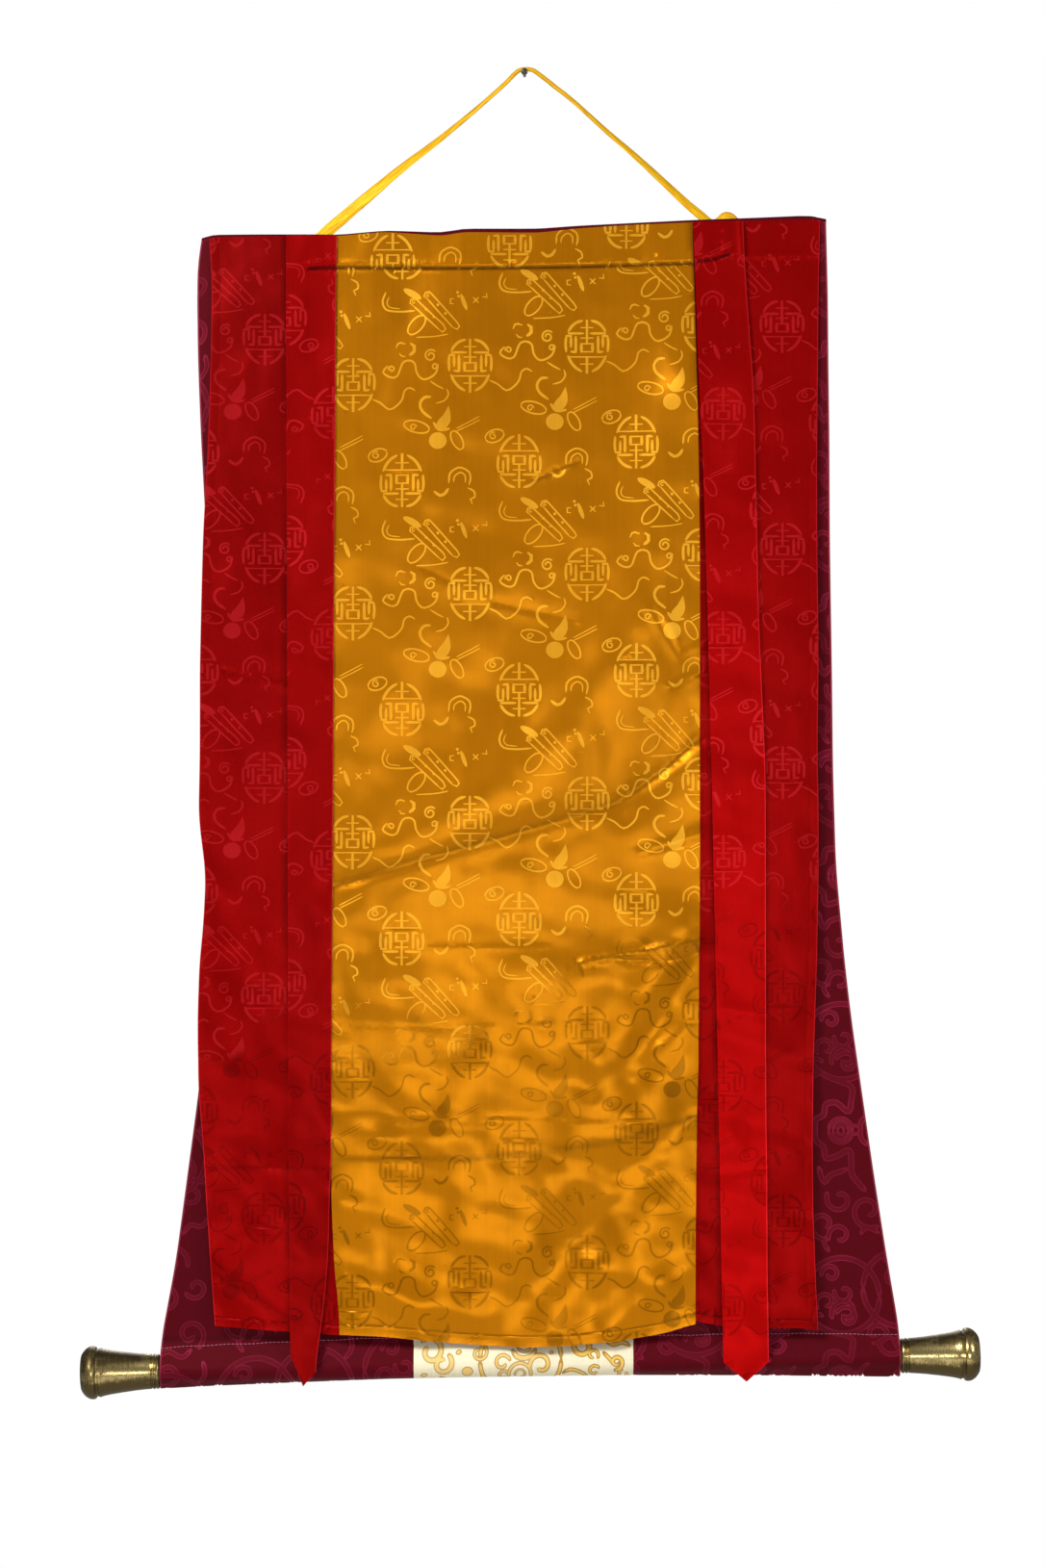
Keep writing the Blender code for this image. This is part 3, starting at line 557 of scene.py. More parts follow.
class Shade:
    """A value or a colour in a material. Python's own sums on it add the nodes that work it out."""

    def __init__(self, tree, socket):
        self.tree = tree
        self.socket = socket

    def node(self, kind, settings=(), inputs=(), output=0):
        """Adds a node: its settings first, then the values or links of its sockets."""
        made = self.tree.nodes.new(kind)
        for name, value in dict(settings).items():
            setattr(made, name, value)
        for key, value in dict(inputs).items():
            if isinstance(value, Shade):
                self.tree.links.new(value.socket, made.inputs[key])
            else:
                made.inputs[key].default_value = value
        return Shade(self.tree, made.outputs[output])

    def maths(self, operation, *values):
        return self.node("ShaderNodeMath", {"operation": operation}, enumerate(values))

    def __add__(self, other):
        return self.maths("ADD", self, other)

    def __radd__(self, other):
        return self.maths("ADD", other, self)

    def __sub__(self, other):
        return self.maths("SUBTRACT", self, other)

    def __rsub__(self, other):
        return self.maths("SUBTRACT", other, self)

    def __mul__(self, other):
        return self.maths("MULTIPLY", self, other)

    def __rmul__(self, other):
        return self.maths("MULTIPLY", other, self)

    def near(self, value):
        """1 where this value is the given one, and 0 elsewhere."""
        return self.maths("COMPARE", self, value, 0.25)

    def eased(self, low, high, start=0.0, end=1.0):
        """This value eased from start at low to end at high."""
        sockets = {"Value": self, "From Min": low, "From Max": high, "To Min": start, "To Max": end}
        return self.node("ShaderNodeMapRange", {"interpolation_type": "SMOOTHSTEP"}, sockets)

    def blend(self, first, second):
        """The first colour where this value is 0, and the second where it is 1."""
        return self.node(
            "ShaderNodeMix", {"data_type": "RGBA"}, {"Factor": self, 6: first, 7: second}, output=2
        )

    def scaled(self, factor):
        """This colour or vector made larger or smaller by a factor."""
        return self.node("ShaderNodeVectorMath", {"operation": "SCALE"}, {0: self, "Scale": factor})


class Finish:
    """A material, with its Principled shader and the places on a piece that its patterns read."""

    def __init__(self, name, **constants):
        self.material = bpy.data.materials.new(name)
        self.material.use_nodes = True
        self.tree = self.material.node_tree
        self.shader = self.tree.nodes["Principled BSDF"]
        self.start = Shade(self.tree, None)
        for key, value in constants.items():
            self.shader.inputs[key.replace("_", " ")].default_value = value

    def place(self, scale=(1.0, 1.0, 1.0), turn=(0.0, 0.0, 0.0)):
        """The place on the piece, in metres, turned and then scaled by a Mapping node."""
        found = self.start.node("ShaderNodeTexCoord", output="Object")
        return self.start.node("ShaderNodeMapping", (), {"Vector": found, "Scale": scale, "Rotation": turn})

    def attribute(self, name):
        return self.start.node("ShaderNodeAttribute", {"attribute_name": name}, output="Fac")

    def noise(self, place, scale, detail=2.0, roughness=0.5):
        sockets = {"Vector": place, "Scale": scale, "Detail": detail, "Roughness": roughness}
        return self.start.node("ShaderNodeTexNoise", (), sockets)

    def bump(self, height, strength, distance, normal=None):
        sockets = {"Height": height, "Strength": strength, "Distance": distance}
        if normal:
            sockets["Normal"] = normal
        return self.start.node("ShaderNodeBump", (), sockets)

    def use(self, **links):
        for key, value in links.items():
            self.tree.links.new(value.socket, self.shader.inputs[key.replace("_", " ")])
        return self.material


def rgb(colour):
    return (*colour, 1.0)


def weave_height(finish):
    """Fine threads both ways: the sum of two thin bands across and down the cloth."""
    warp = finish.start.node(
        "ShaderNodeTexWave", {"bands_direction": "X"},
        {"Vector": finish.place(), "Scale": 420.0, "Distortion": 0.6, "Detail": 1.0},
    )
    weft = finish.start.node(
        "ShaderNodeTexWave", {"bands_direction": "Z"},
        {"Vector": finish.place(), "Scale": 360.0, "Distortion": 0.8, "Detail": 1.0},
    )
    return warp + weft


def damask_silk(name, ground, figure, edge, tint, rough, crumpled):
    """Satin damask: ground and figure differ in colour and gloss, with slubs, soft crumples and fine threads.

    Towards the head the figure is lighter than the ground, and towards the foot and the right it turns darker:
    painted sheen, for the satin ground catching more light there.
    """
    finish = Finish(name, Metallic=0.46, Specular_IOR_Level=0.4, Specular_Tint=rgb(tint))
    level = finish.attribute("figure")
    cloudy = finish.noise(finish.place(), 9.0, 3.0)
    sheen_contrast = (finish.attribute("contrast") + 1.3 * cloudy - 0.65).eased(0.36, 0.62)
    woven = level.near(FIGURE) * sheen_contrast * cloudy.eased(0.30, 0.62, 1.0, 0.6)
    # Painted sheen: the figure turns darker than the ground where the contrast falls
    painted_dark_figure = level.near(FIGURE) * sheen_contrast.eased(0.0, 0.9, 1.0, 0.0) * cloudy.eased(0.36, 0.60, 0.65, 1.0)
    colour = woven.blend(rgb(ground), rgb(figure))
    colour = painted_dark_figure.blend(colour, rgb([0.58 * value for value in ground]))
    # The folded edge band gets its painted highlight colour
    colour = level.near(EDGE_HIGHLIGHT).blend(colour, rgb(edge))
    slub = finish.noise(finish.place((60.0, 60.0, 900.0)), 1.0, 2.0)
    warp = finish.noise(finish.place((420.0, 60.0, 3.0)), 1.0, 2.0)
    # The shade attribute brings painted light and shade; the noises give the silk's own uneven tone
    tone = finish.attribute("shade") * (0.78 + 0.05 * slub + 0.22 * cloudy + 0.15 * warp)
    roughness = rough[0] + (rough[1] - rough[0]) * woven + 0.03 * slub
    crumple = finish.noise(finish.place((1.0, 1.0, 0.62), (0.0, 0.5, 0.0)), 13.0, 2.0, 0.42)
    soft = finish.bump(crumple, crumpled, 0.019)
    normal = finish.bump(weave_height(finish) + 0.1 * slub, 0.2, 0.0001, soft)
    return finish.use(Base_Color=colour.scaled(tone), Roughness=roughness, Normal=normal)


def brocade(name, ground, line, core, edge, shows, rough=(0.50, 0.42)):
    """Brocade: clouds drawn as a band of line colour round a core, on a closely ribbed ground."""
    finish = Finish(name, Metallic=0.3, Specular_IOR_Level=0.1)
    level = finish.attribute("figure")
    outline = level.near(FIGURE)
    inside = level.near(CORE)
    plain = finish.noise(finish.place(), 22.0, 1.0).eased(0.3, 0.62, *shows)
    slub = finish.noise(finish.place((700.0, 60.0, 60.0)), 1.0, 2.0)
    cloudy = finish.noise(finish.place(), 14.0, 3.0)
    colour = (outline * plain).blend(rgb(ground), rgb(line))
    colour = (inside * plain).blend(colour, rgb(core))
    # The folded edge band gets its painted highlight colour
    colour = level.near(EDGE_HIGHLIGHT).blend(colour, rgb(edge))
    # The shade attribute brings the painted shade at the seam; the noises give the brocade's own uneven tone
    tone = finish.attribute("shade") * (0.82 + 0.2 * slub + 0.16 * cloudy)
    roughness = rough[0] + (rough[1] - rough[0]) * outline + 0.08 * cloudy
    normal = finish.bump(weave_height(finish) + slub, 0.3, 0.00012)
    return finish.use(Base_Color=colour.scaled(tone), Roughness=roughness, Normal=normal)


def cord_silk(colour, hollow):
    """Loosely plaited silk: fine lengthwise strands, with painted shade in the hollows between them."""
    finish = Finish("cord_silk", Metallic=0.2, Specular_IOR_Level=0.2)
    uv = finish.start.node("ShaderNodeUVMap", {"uv_map": "cloth"})
    drawn_out = finish.start.node("ShaderNodeMapping", (), {"Vector": uv, "Scale": (26.0, 30.0, 1.0)})
    strands = finish.noise(drawn_out, 1.0, 3.0)
    normal = finish.bump(strands, 0.8, 0.0012)
    # Painted shade in the hollows between the strands
    colour = strands.eased(0.36, 0.6).blend(rgb(hollow), rgb(colour))
    return finish.use(Base_Color=colour, Roughness=0.42 + 0.2 * strands, Normal=normal)


def antique_brass(bright, dark):
    """Turned brass gone brown in patches, with fine lathe lines round it and small dents, and painted shade below
    its middle and on its top.
    """
    finish = Finish("antique_brass", Metallic=1.0)
    lathe = finish.noise(finish.place((900.0, 30.0, 30.0)), 1.0, 2.0)
    patches = finish.noise(finish.place((34.0, 70.0, 70.0)), 1.0, 5.0, 0.62)
    specks = finish.noise(finish.place(), 520.0, 2.0)
    across = finish.start.node("ShaderNodeSeparateXYZ", (), {0: finish.place()}, output=0)
    height = finish.start.node("ShaderNodeSeparateXYZ", (), {0: finish.place()}, output=2)
    above = height - across * math.tan(ROD_SLOPE) - ROD_MIDDLE_HEIGHT * MM
    # Painted shade: darker below the rod's middle line and on the top, which leaves a lighter band along the middle
    knob_painted_shade = 0.30 * above.eased(-0.016, 0.0, 1.0, 0.0) + 0.14 * above.eased(0.006, 0.016)
    age_and_painted_shade = (0.6 * patches + 0.2 * lathe + 0.2 * specks + knob_painted_shade).eased(0.42, 0.66)
    colour = age_and_painted_shade.blend(rgb(bright), rgb(dark))
    normal = finish.bump(lathe + 0.7 * specks + 0.5 * patches, 0.2, 0.0005)
    return finish.use(Base_Color=colour, Roughness=0.17 + 0.24 * age_and_painted_shade, Normal=normal)


def wood(name, light, dark):
    """Planed wood: long grain with darker lines."""
    finish = Finish(name, Specular_IOR_Level=0.4)
    grain = finish.noise(finish.place((4.0, 160.0, 160.0)), 1.0, 5.0, 0.6)
    colour = grain.eased(0.35, 0.65).blend(rgb(light), rgb(dark))
    return finish.use(Base_Color=colour, Roughness=0.5 + 0.2 * grain, Normal=finish.bump(grain, 0.3, 0.0004))


def iron():
    """Dull wire nail with a few brown specks."""
    finish = Finish("nail_iron", Metallic=0.9)
    specks = finish.noise(finish.place(), 900.0, 3.0)
    rust = specks.eased(0.55, 0.7)
    colour = rust.blend(rgb((0.09, 0.085, 0.08)), rgb((0.13, 0.06, 0.03)))
    return finish.use(Base_Color=colour, Roughness=0.38 + 0.4 * rust, Normal=finish.bump(specks, 0.4, 0.0002))


def thread_silk(colour):
    """Sewing thread, twisted: fine slanting bands."""
    finish = Finish("sewing_thread", Sheen_Weight=0.3)
    twist = finish.noise(finish.place((900.0, 900.0, 900.0)), 1.0, 1.0)
    shown = finish.start.node("ShaderNodeRGB")
    shown.socket.default_value = rgb(colour)
    normal = finish.bump(twist, 0.4, 0.0001)
    return finish.use(Base_Color=shown.scaled(0.8 + 0.4 * twist), Roughness=0.45 + 0.2 * twist, Normal=normal)


def mesh_piece(name, points, faces, material, smooth_to=50.0):
    """A piece from points in metres and a list of arrays of faces, sharp at edges past smooth_to degrees."""
    mesh = bpy.data.meshes.new(name)
    corners = np.concatenate([group.ravel() for group in faces])
    totals = np.concatenate([np.full(len(group), group.shape[1]) for group in faces])
    mesh.vertices.add(len(points))
    mesh.vertices.foreach_set("co", points.astype(np.float32).ravel())
    mesh.loops.add(len(corners))
    mesh.loops.foreach_set("vertex_index", corners.astype(np.int32))
    mesh.polygons.add(len(totals))
    mesh.polygons.foreach_set("loop_start", (np.cumsum(totals) - totals).astype(np.int32))
    mesh.update(calc_edges=True)
    mesh.shade_smooth()
    mesh.set_sharp_from_angle(angle=math.radians(smooth_to))
    mesh.materials.append(material)
    piece = bpy.data.objects.new(name, mesh)
    bpy.context.scene.collection.objects.link(piece)
    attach(piece, "root")
    return piece


def write_attribute(mesh, name, domain, values):
    mesh.attributes.new(name, "FLOAT", domain).data.foreach_set("value", values.astype(np.float32))


def write_uv(mesh, places):
    """A UV map from one place for each point, fitted to the unit square."""
    low, high = places.min(0), places.max(0)
    corners = np.empty(len(mesh.loops), np.int32)
    mesh.loops.foreach_get("vertex_index", corners)
    fitted = (places - low) / (high - low).max()
    mesh.uv_layers.new(name="cloth").data.foreach_set("uv", fitted[corners].astype(np.float32).ravel())


def smooth_line(points, step):
    """Points about one step apart on a smooth curve through the given points.

    Each stretch is the cubic that leaves and meets its two points along the line between their
    neighbours.
    """
    points = np.array(points, float)
    padded = np.vstack([2 * points[0] - points[1], points, 2 * points[-1] - points[-2]])
    lengths = np.linalg.norm(np.diff(points, axis=0), axis=1)
    counts = np.maximum(1, np.round(lengths / step)).astype(int)
    stretch = np.repeat(np.arange(len(counts)), counts)
    first = np.repeat(np.cumsum(counts) - counts, counts)
    share = ((np.arange(counts.sum()) - first) / counts[stretch])[:, None]
    before, start, end, after = (padded[stretch + shift] for shift in range(4))
    curve = (
        2 * start
        + (end - before) * share
        + (2 * before - 5 * start + 4 * end - after) * share**2
        + (3 * start - before - 3 * end + after) * share**3
    ) / 2
    return np.vstack([curve, points[-1]])


def outline(line, width):
    """A stroke's outline: its middle line moved half the width to both sides, and drawn in at its ends."""
    step = np.gradient(line, axis=0)
    side = np.column_stack([-step[:, 1], step[:, 0]]) / np.linalg.norm(step, axis=1)[:, None]
    along = np.concatenate([[0.0], np.cumsum(np.linalg.norm(np.diff(line, axis=0), axis=1))])
    from_end = np.minimum(along, along[-1] - along)
    half = (width / 2 * np.clip(0.5 + from_end / width, 0.0, 1.0))[:, None]
    return np.vstack([line + side * half, (line - side * half)[::-1]])


def closed_tube(rings, first_tip, last_tip):
    """The points and faces of a tube through rings of points, drawn together to a tip at each end."""
    count, around = rings.shape[:2]
    index = np.arange(count * around).reshape(count, around)
    after = np.roll(index, -1, axis=1)
    quads = np.stack([index[:-1], index[1:], after[1:], after[:-1]], axis=-1).reshape(-1, 4)
    first = np.column_stack([index[0], after[0], np.full(around, index.size)])
    last = np.column_stack([after[-1], index[-1], np.full(around, index.size + 1)])
    return np.vstack([rings.reshape(-1, 3), first_tip, last_tip]), [quads, np.vstack([first, last])]


def line_stroke(width, *places):
    """A stroke along a smooth curve through its places."""
    return [(width, smooth_line(places, STROKE_STEP))]


def bar_stroke(width, *places):
    """A straight stroke from place to place."""
    return [(width, np.array(places, float))]


def ring_stroke(width, x, z, half_long, half_short, turn):
    """A ring as two half strokes: an ellipse turned about its middle."""
    found = []
    for start in (0.0, math.pi):
        angle = start + np.linspace(0.0, math.pi, 7 + int(0.6 * half_long))
        found.append((width, np.array((x, z)) + turned(angle, half_long, half_short, turn)))
    return found


def turned(angle, half_long, half_short, turn):
    """The places on an ellipse at given angles, turned anticlockwise by a number of degrees."""
    across, up = half_long * np.cos(angle), half_short * np.sin(angle)
    cosine, sine = math.cos(math.radians(turn)), math.sin(math.radians(turn))
    return np.column_stack([across * cosine - up * sine, across * sine + up * cosine])


def curl_stroke(width, x, z, outer, inner, start, winds):
    """A curl: the radius goes evenly from outer to inner as the angle winds from start."""
    share = np.linspace(0.0, 1.0, 8 + int(abs(winds) * outer / 130))
    angle = np.radians(start + winds * share)
    radius = (outer + (inner - outer) * share)[:, None]
    return [(width, np.array((x, z)) + radius * np.column_stack([np.cos(angle), np.sin(angle)]))]


def drop_loop(x, z, half_long, half_short, turn):
    """A filled ellipse, turned about its middle."""
    angle = np.linspace(0.0, 2 * math.pi, 14 + 2 * int(max(half_long - 8.0, 0.0)), endpoint=False)
    return np.array((x, z)) + turned(angle, half_long, half_short, turn)


def strokes_of(lines=(), rings=(), curls=(), bars=()):
    """(width, middle line) for every stroke of a chart."""
    found = []
    for make, rows in ((line_stroke, lines), (ring_stroke, rings), (curl_stroke, curls), (bar_stroke, bars)):
        for row in rows:
            found += make(*row)
    return found


def roundel():
    """The loops of the fret roundel: its middle, and its right half with the mirror of it."""
    loops = [outline(line, width * ROUNDEL_WEIGHT) for width, line in strokes_of(bars=ROUNDEL_MIDDLE)]
    for width, line in strokes_of(lines=ROUNDEL_SIDE):
        loop = outline(line, width * ROUNDEL_WEIGHT)
        loops += [loop, (loop * (-1, 1))[::-1]]
    return loops


def damask_chart():
    """Every loop of one repeat: the roundel upside down, its upright partner and the small motifs."""
    fret = roundel()
    loops = [-loop for loop in fret] + [loop + np.array(ROUNDEL_PARTNER) for loop in fret]
    loops += [outline(line, width) for width, line in strokes_of(DAMASK_LINES, DAMASK_RINGS, DAMASK_CURLS)]
    loops += [drop_loop(*row) for row in DAMASK_DROPS] + [smooth_line(DAMASK_BULB, 2.0)[:-1]]
    return [(FIGURE, loop) for loop in loops]


def banded_chart(strokes, drops, band):
    """Strokes and drops drawn as a core with a band of outline round it."""
    found = []
    for width, line in strokes:
        found.append((FIGURE, outline(line, width)))
        found.append((CORE, outline(line[1:-1], width - 2 * band)))
    for x, z, half_long, half_short, turn in drops:
        found.append((FIGURE, drop_loop(x, z, half_long, half_short, turn)))
        found.append((CORE, drop_loop(x, z, half_long - band, half_short - band, turn)))
    return found


def repeated(chart, first, across, down, box):
    """The chart at every place of its lattice that falls in the box (left, right, foot, top)."""
    left, right, foot, top = box
    spots = [
        np.array(first) + np.array(across) * column + np.array((0.0, -down)) * row
        for column in range(-8, 9) for row in range(-7, 8)
    ]
    found = []
    for level, loop in chart:
        low, high = loop.min(0), loop.max(0)
        found += [
            (level, loop + spot) for spot in spots
            if low[0] + spot[0] < right and high[0] + spot[0] > left
            and low[1] + spot[1] < top and high[1] + spot[1] > foot
        ]
    return found


def anticlockwise(loop):
    """The loop, turned to run anticlockwise by the sign of its area."""
    x, z = loop.T
    area = np.sum(x * np.roll(z, -1) - np.roll(x, -1) * z)
    return loop if area > 0 else loop[::-1]


def woven_faces(rim, inner, figures, counts=None):
    """Cuts a flat cloth along its figures' outlines.

    It is the triangulation of the rim, the inner points that no outline comes near and every figure's
    loop, kept inside the rim. Gives the points, the triangles and what each shows. counts(index, centre)
    says whether a figure counts at a triangle's centre, for cloth that is drawn in two parts.
    """
    loops = [anticlockwise(loop) for loop in (rim, *(loop for _, loop in figures))]
    sizes = [len(loop) for loop in loops]
    starts = np.cumsum([0, *sizes])
    cells = {tuple(cell) for cell in np.round(np.vstack(loops) / NEAR_OUTLINE).astype(int).tolist()}
    free = [tuple(cell) not in cells for cell in np.round(inner / NEAR_OUTLINE).astype(int).tolist()]
    places = np.vstack([*loops, inner[free]])
    faces = [list(range(start, start + size)) for start, size in zip(starts, sizes)]
    vectors = [Vector(place) for place in places.tolist()]
    flat, _, triangles, _, _, owners = delaunay_2d_cdt(vectors, [], faces, 0, 1e-4)
    inside = [index for index, owner in enumerate(owners) if 0 in owner]
    points = np.array([place[:] for place in flat])
    triangles = np.array([triangles[index] for index in inside])
    owners = [owners[index] for index in inside]
    centres = points[triangles].mean(1)
    if counts:
        owners = [
            [owner for owner in found if owner and counts(owner - 1, centre)]
            for found, centre in zip(owners, centres)
        ]
    levels = [GROUND, *(level for level, _ in figures)]
    shown = np.array([max((levels[owner] for owner in found), default=GROUND) for found in owners])
    used, index = np.unique(triangles, return_inverse=True)
    return points[used], index.reshape(-1, 3), shown


def point_normals(points, triangles):
    """The mean direction of the triangles round each point, by their areas."""
    corners = points[triangles]
    cross = np.cross(corners[:, 1] - corners[:, 0], corners[:, 2] - corners[:, 0])
    total = np.zeros_like(points)
    for corner in range(3):
        np.add.at(total, triangles[:, corner], cross)
    return total / np.linalg.norm(total, axis=1)[:, None]


def open_edges(triangles):
    """The edges that only one triangle has, in that triangle's direction."""
    edges = np.vstack([triangles[:, [0, 1]], triangles[:, [1, 2]], triangles[:, [2, 0]]])
    _, index, count = np.unique(np.sort(edges, axis=1), axis=0, return_index=True, return_counts=True)
    return edges[index[count == 1]]


def figure_sheen_contrast(flat):
    """How plainly the figure shows lighter than the ground: less at the right and towards the foot, where painted
    sheen turns it darker.
    """
    x, z = flat.T
    sheen_turn = np.clip((-z - SHEEN_TURN_FROM + SHEEN_TURN_SLANT * x) / SHEEN_TURN_OVER, 0.0, 1.0)
    return 1.0 - sheen_turn * sheen_turn * (3.0 - 2.0 * sheen_turn)


def cloth_piece(name, flat, triangles, shown, place, shade, thick, material, plain_back=False):
    """A sheet of cloth: the flat points lifted into space, a back one thickness behind, and a rim between.

    The figure shows on the back too, as damask does, unless the back is plain.
    """
    middle = place(flat)
    normals = point_normals(middle, triangles)
    count = len(flat)
    points = np.vstack([middle + normals * thick / 2, middle - normals * thick / 2])
    rim = open_edges(triangles)
    back = triangles[:, ::-1] + count
    wall = np.column_stack([rim[:, 1], rim[:, 0], rim[:, 0] + count, rim[:, 1] + count])
    piece = mesh_piece(name, points * MM, [triangles, back, wall], material)
    # The rim between front and back takes the painted edge highlight colour
    levels = np.concatenate([shown, shown * (not plain_back), np.full(len(wall), EDGE_HIGHLIGHT)])
    write_attribute(piece.data, "figure", "FACE", levels)
    write_attribute(piece.data, "shade", "POINT", np.tile(shade(flat), 2))
    write_uv(piece.data, np.vstack([flat, flat]))
    return piece


def mount_depth(z):
    """The depth of the mount cloth's front layer, which leans out from the slat to the rod."""
    share = (TOP_LEVEL - z) / (TOP_LEVEL - SEAM_LEVEL)
    return FRONT_DEPTH + (ROD_DEPTH - SEAM_SPREAD - FRONT_DEPTH) * share


def reach_of_line(x, z, points):
    """The distance from places of the cover to a line of points, in the plane of the cover."""
    best = np.full(np.shape(x), np.inf)
    for (x1, z1), (x2, z2) in zip(points, points[1:]):
        along = ((x - x1) * (x2 - x1) + (z - z1) * (z2 - z1)) / ((x2 - x1) ** 2 + (z2 - z1) ** 2)
        along = np.clip(along, 0.0, 1.0)
        best = np.minimum(best, np.hypot(x - x1 - along * (x2 - x1), z - z1 - along * (z2 - z1)))
    return best


def folded(x, z, folds):
    """The sum of soft ridges: each falls off with the square of the distance from its line."""
    return sum(height * np.exp(-((reach_of_line(x, z, points) / reach) ** 2)) for points, reach, height in folds)


def silk_waves(x, z):
    """Small uneven waves: the sum of a few sines that run in fixed directions."""
    total = 0.0
    for across, down, begin, height in SILK_WAVES:
        total = total + height * np.sin(2 * math.pi * MM * (across * x + down * z) + begin)
    return total


def cover_depth(x, z):
    """The depth of the cover: the mount's, less the stand-off, the long folds, the creases and the waves."""
    hung = mount_depth(z) - COVER_STAND_OFF.read("off", "z", z, 30.0)
    waves = silk_waves(x, z) * SILK_WAVE_SHARE.read("share", "z", z)
    pressed = PRESSED.read("forward", "z", z, 3.0) * PRESSED_SHARE.read("share", "x", x)
    return hung - folded(x, z, COVER_FOLDS) - folded(x, z, COVER_CREASES) - waves - pressed


def cover_top(x):
    """The height of the cover's head, a little below the mount's top edge."""
    return TOP_EDGE.read("z", "x", x, 8.0) - COVER_HEAD.read("below", "x", x, 8.0)


def stops(length, step, edges):
    """Places from 0 to a length: at the given distances from both ends, and one step apart between those."""
    edges = np.array(edges, float)
    inner = np.linspace(edges[-1], length - edges[-1], max(2, round((length - 2 * edges[-1]) / step)))
    return np.concatenate([edges[:-1], inner, length - edges[:-1][::-1]])


def rim_of(grid):
    """The outer loop of a grid of places, anticlockwise."""
    return np.vstack([grid[:, 0], grid[-1, 1:], grid[-2::-1, -1], grid[0, -2:0:-1]])


def side_bands(grid, width, columns=(0, -1)):
    """Thin bands inside the sides of a grid, painted lighter as highlights on folded edges."""
    bands = []
    for column in columns:
        edge = grid[1:-1, column] + (0.04 if column == 0 else -0.04, 0.0)
        inner = edge + (width if column == 0 else -width, 0.0)
        bands.append((EDGE_HIGHLIGHT, np.vstack([edge, inner[::-1]])))
    return bands


def crease_places(creases):
    """Places along creases, in rows on both sides of each."""
    found = []
    for points, reach, _ in creases:
        line = smooth_line(points, CREASE_STEPS[reach >= SHARPEST_REACH])
        ahead = np.gradient(line, axis=0)
        side = np.column_stack([-ahead[:, 1], ahead[:, 0]]) / np.linalg.norm(ahead, axis=1)[:, None]
        found += [line + side * reach * share for share in CREASE_ROWS]
    return np.vstack(found)


def slipped_at_tuck(figures):
    """The figures, and once more those near the tuck, slipped with the silk that is folded there.

    Gives both and the test of which count: the slipped ones above the tuck, and the others below it.
    """
    slipped = [(level, loop + np.array(TUCK_SLIP)) for level, loop in figures if loop[:, 1].max() > SLIP_LEVEL]
    tuck_x, tuck_z = np.array(TUCK, float).T

    def counts(index, centre):
        return (index >= len(figures)) == bool(centre[1] > np.interp(centre[0], tuck_x, tuck_z))

    return figures + slipped, counts


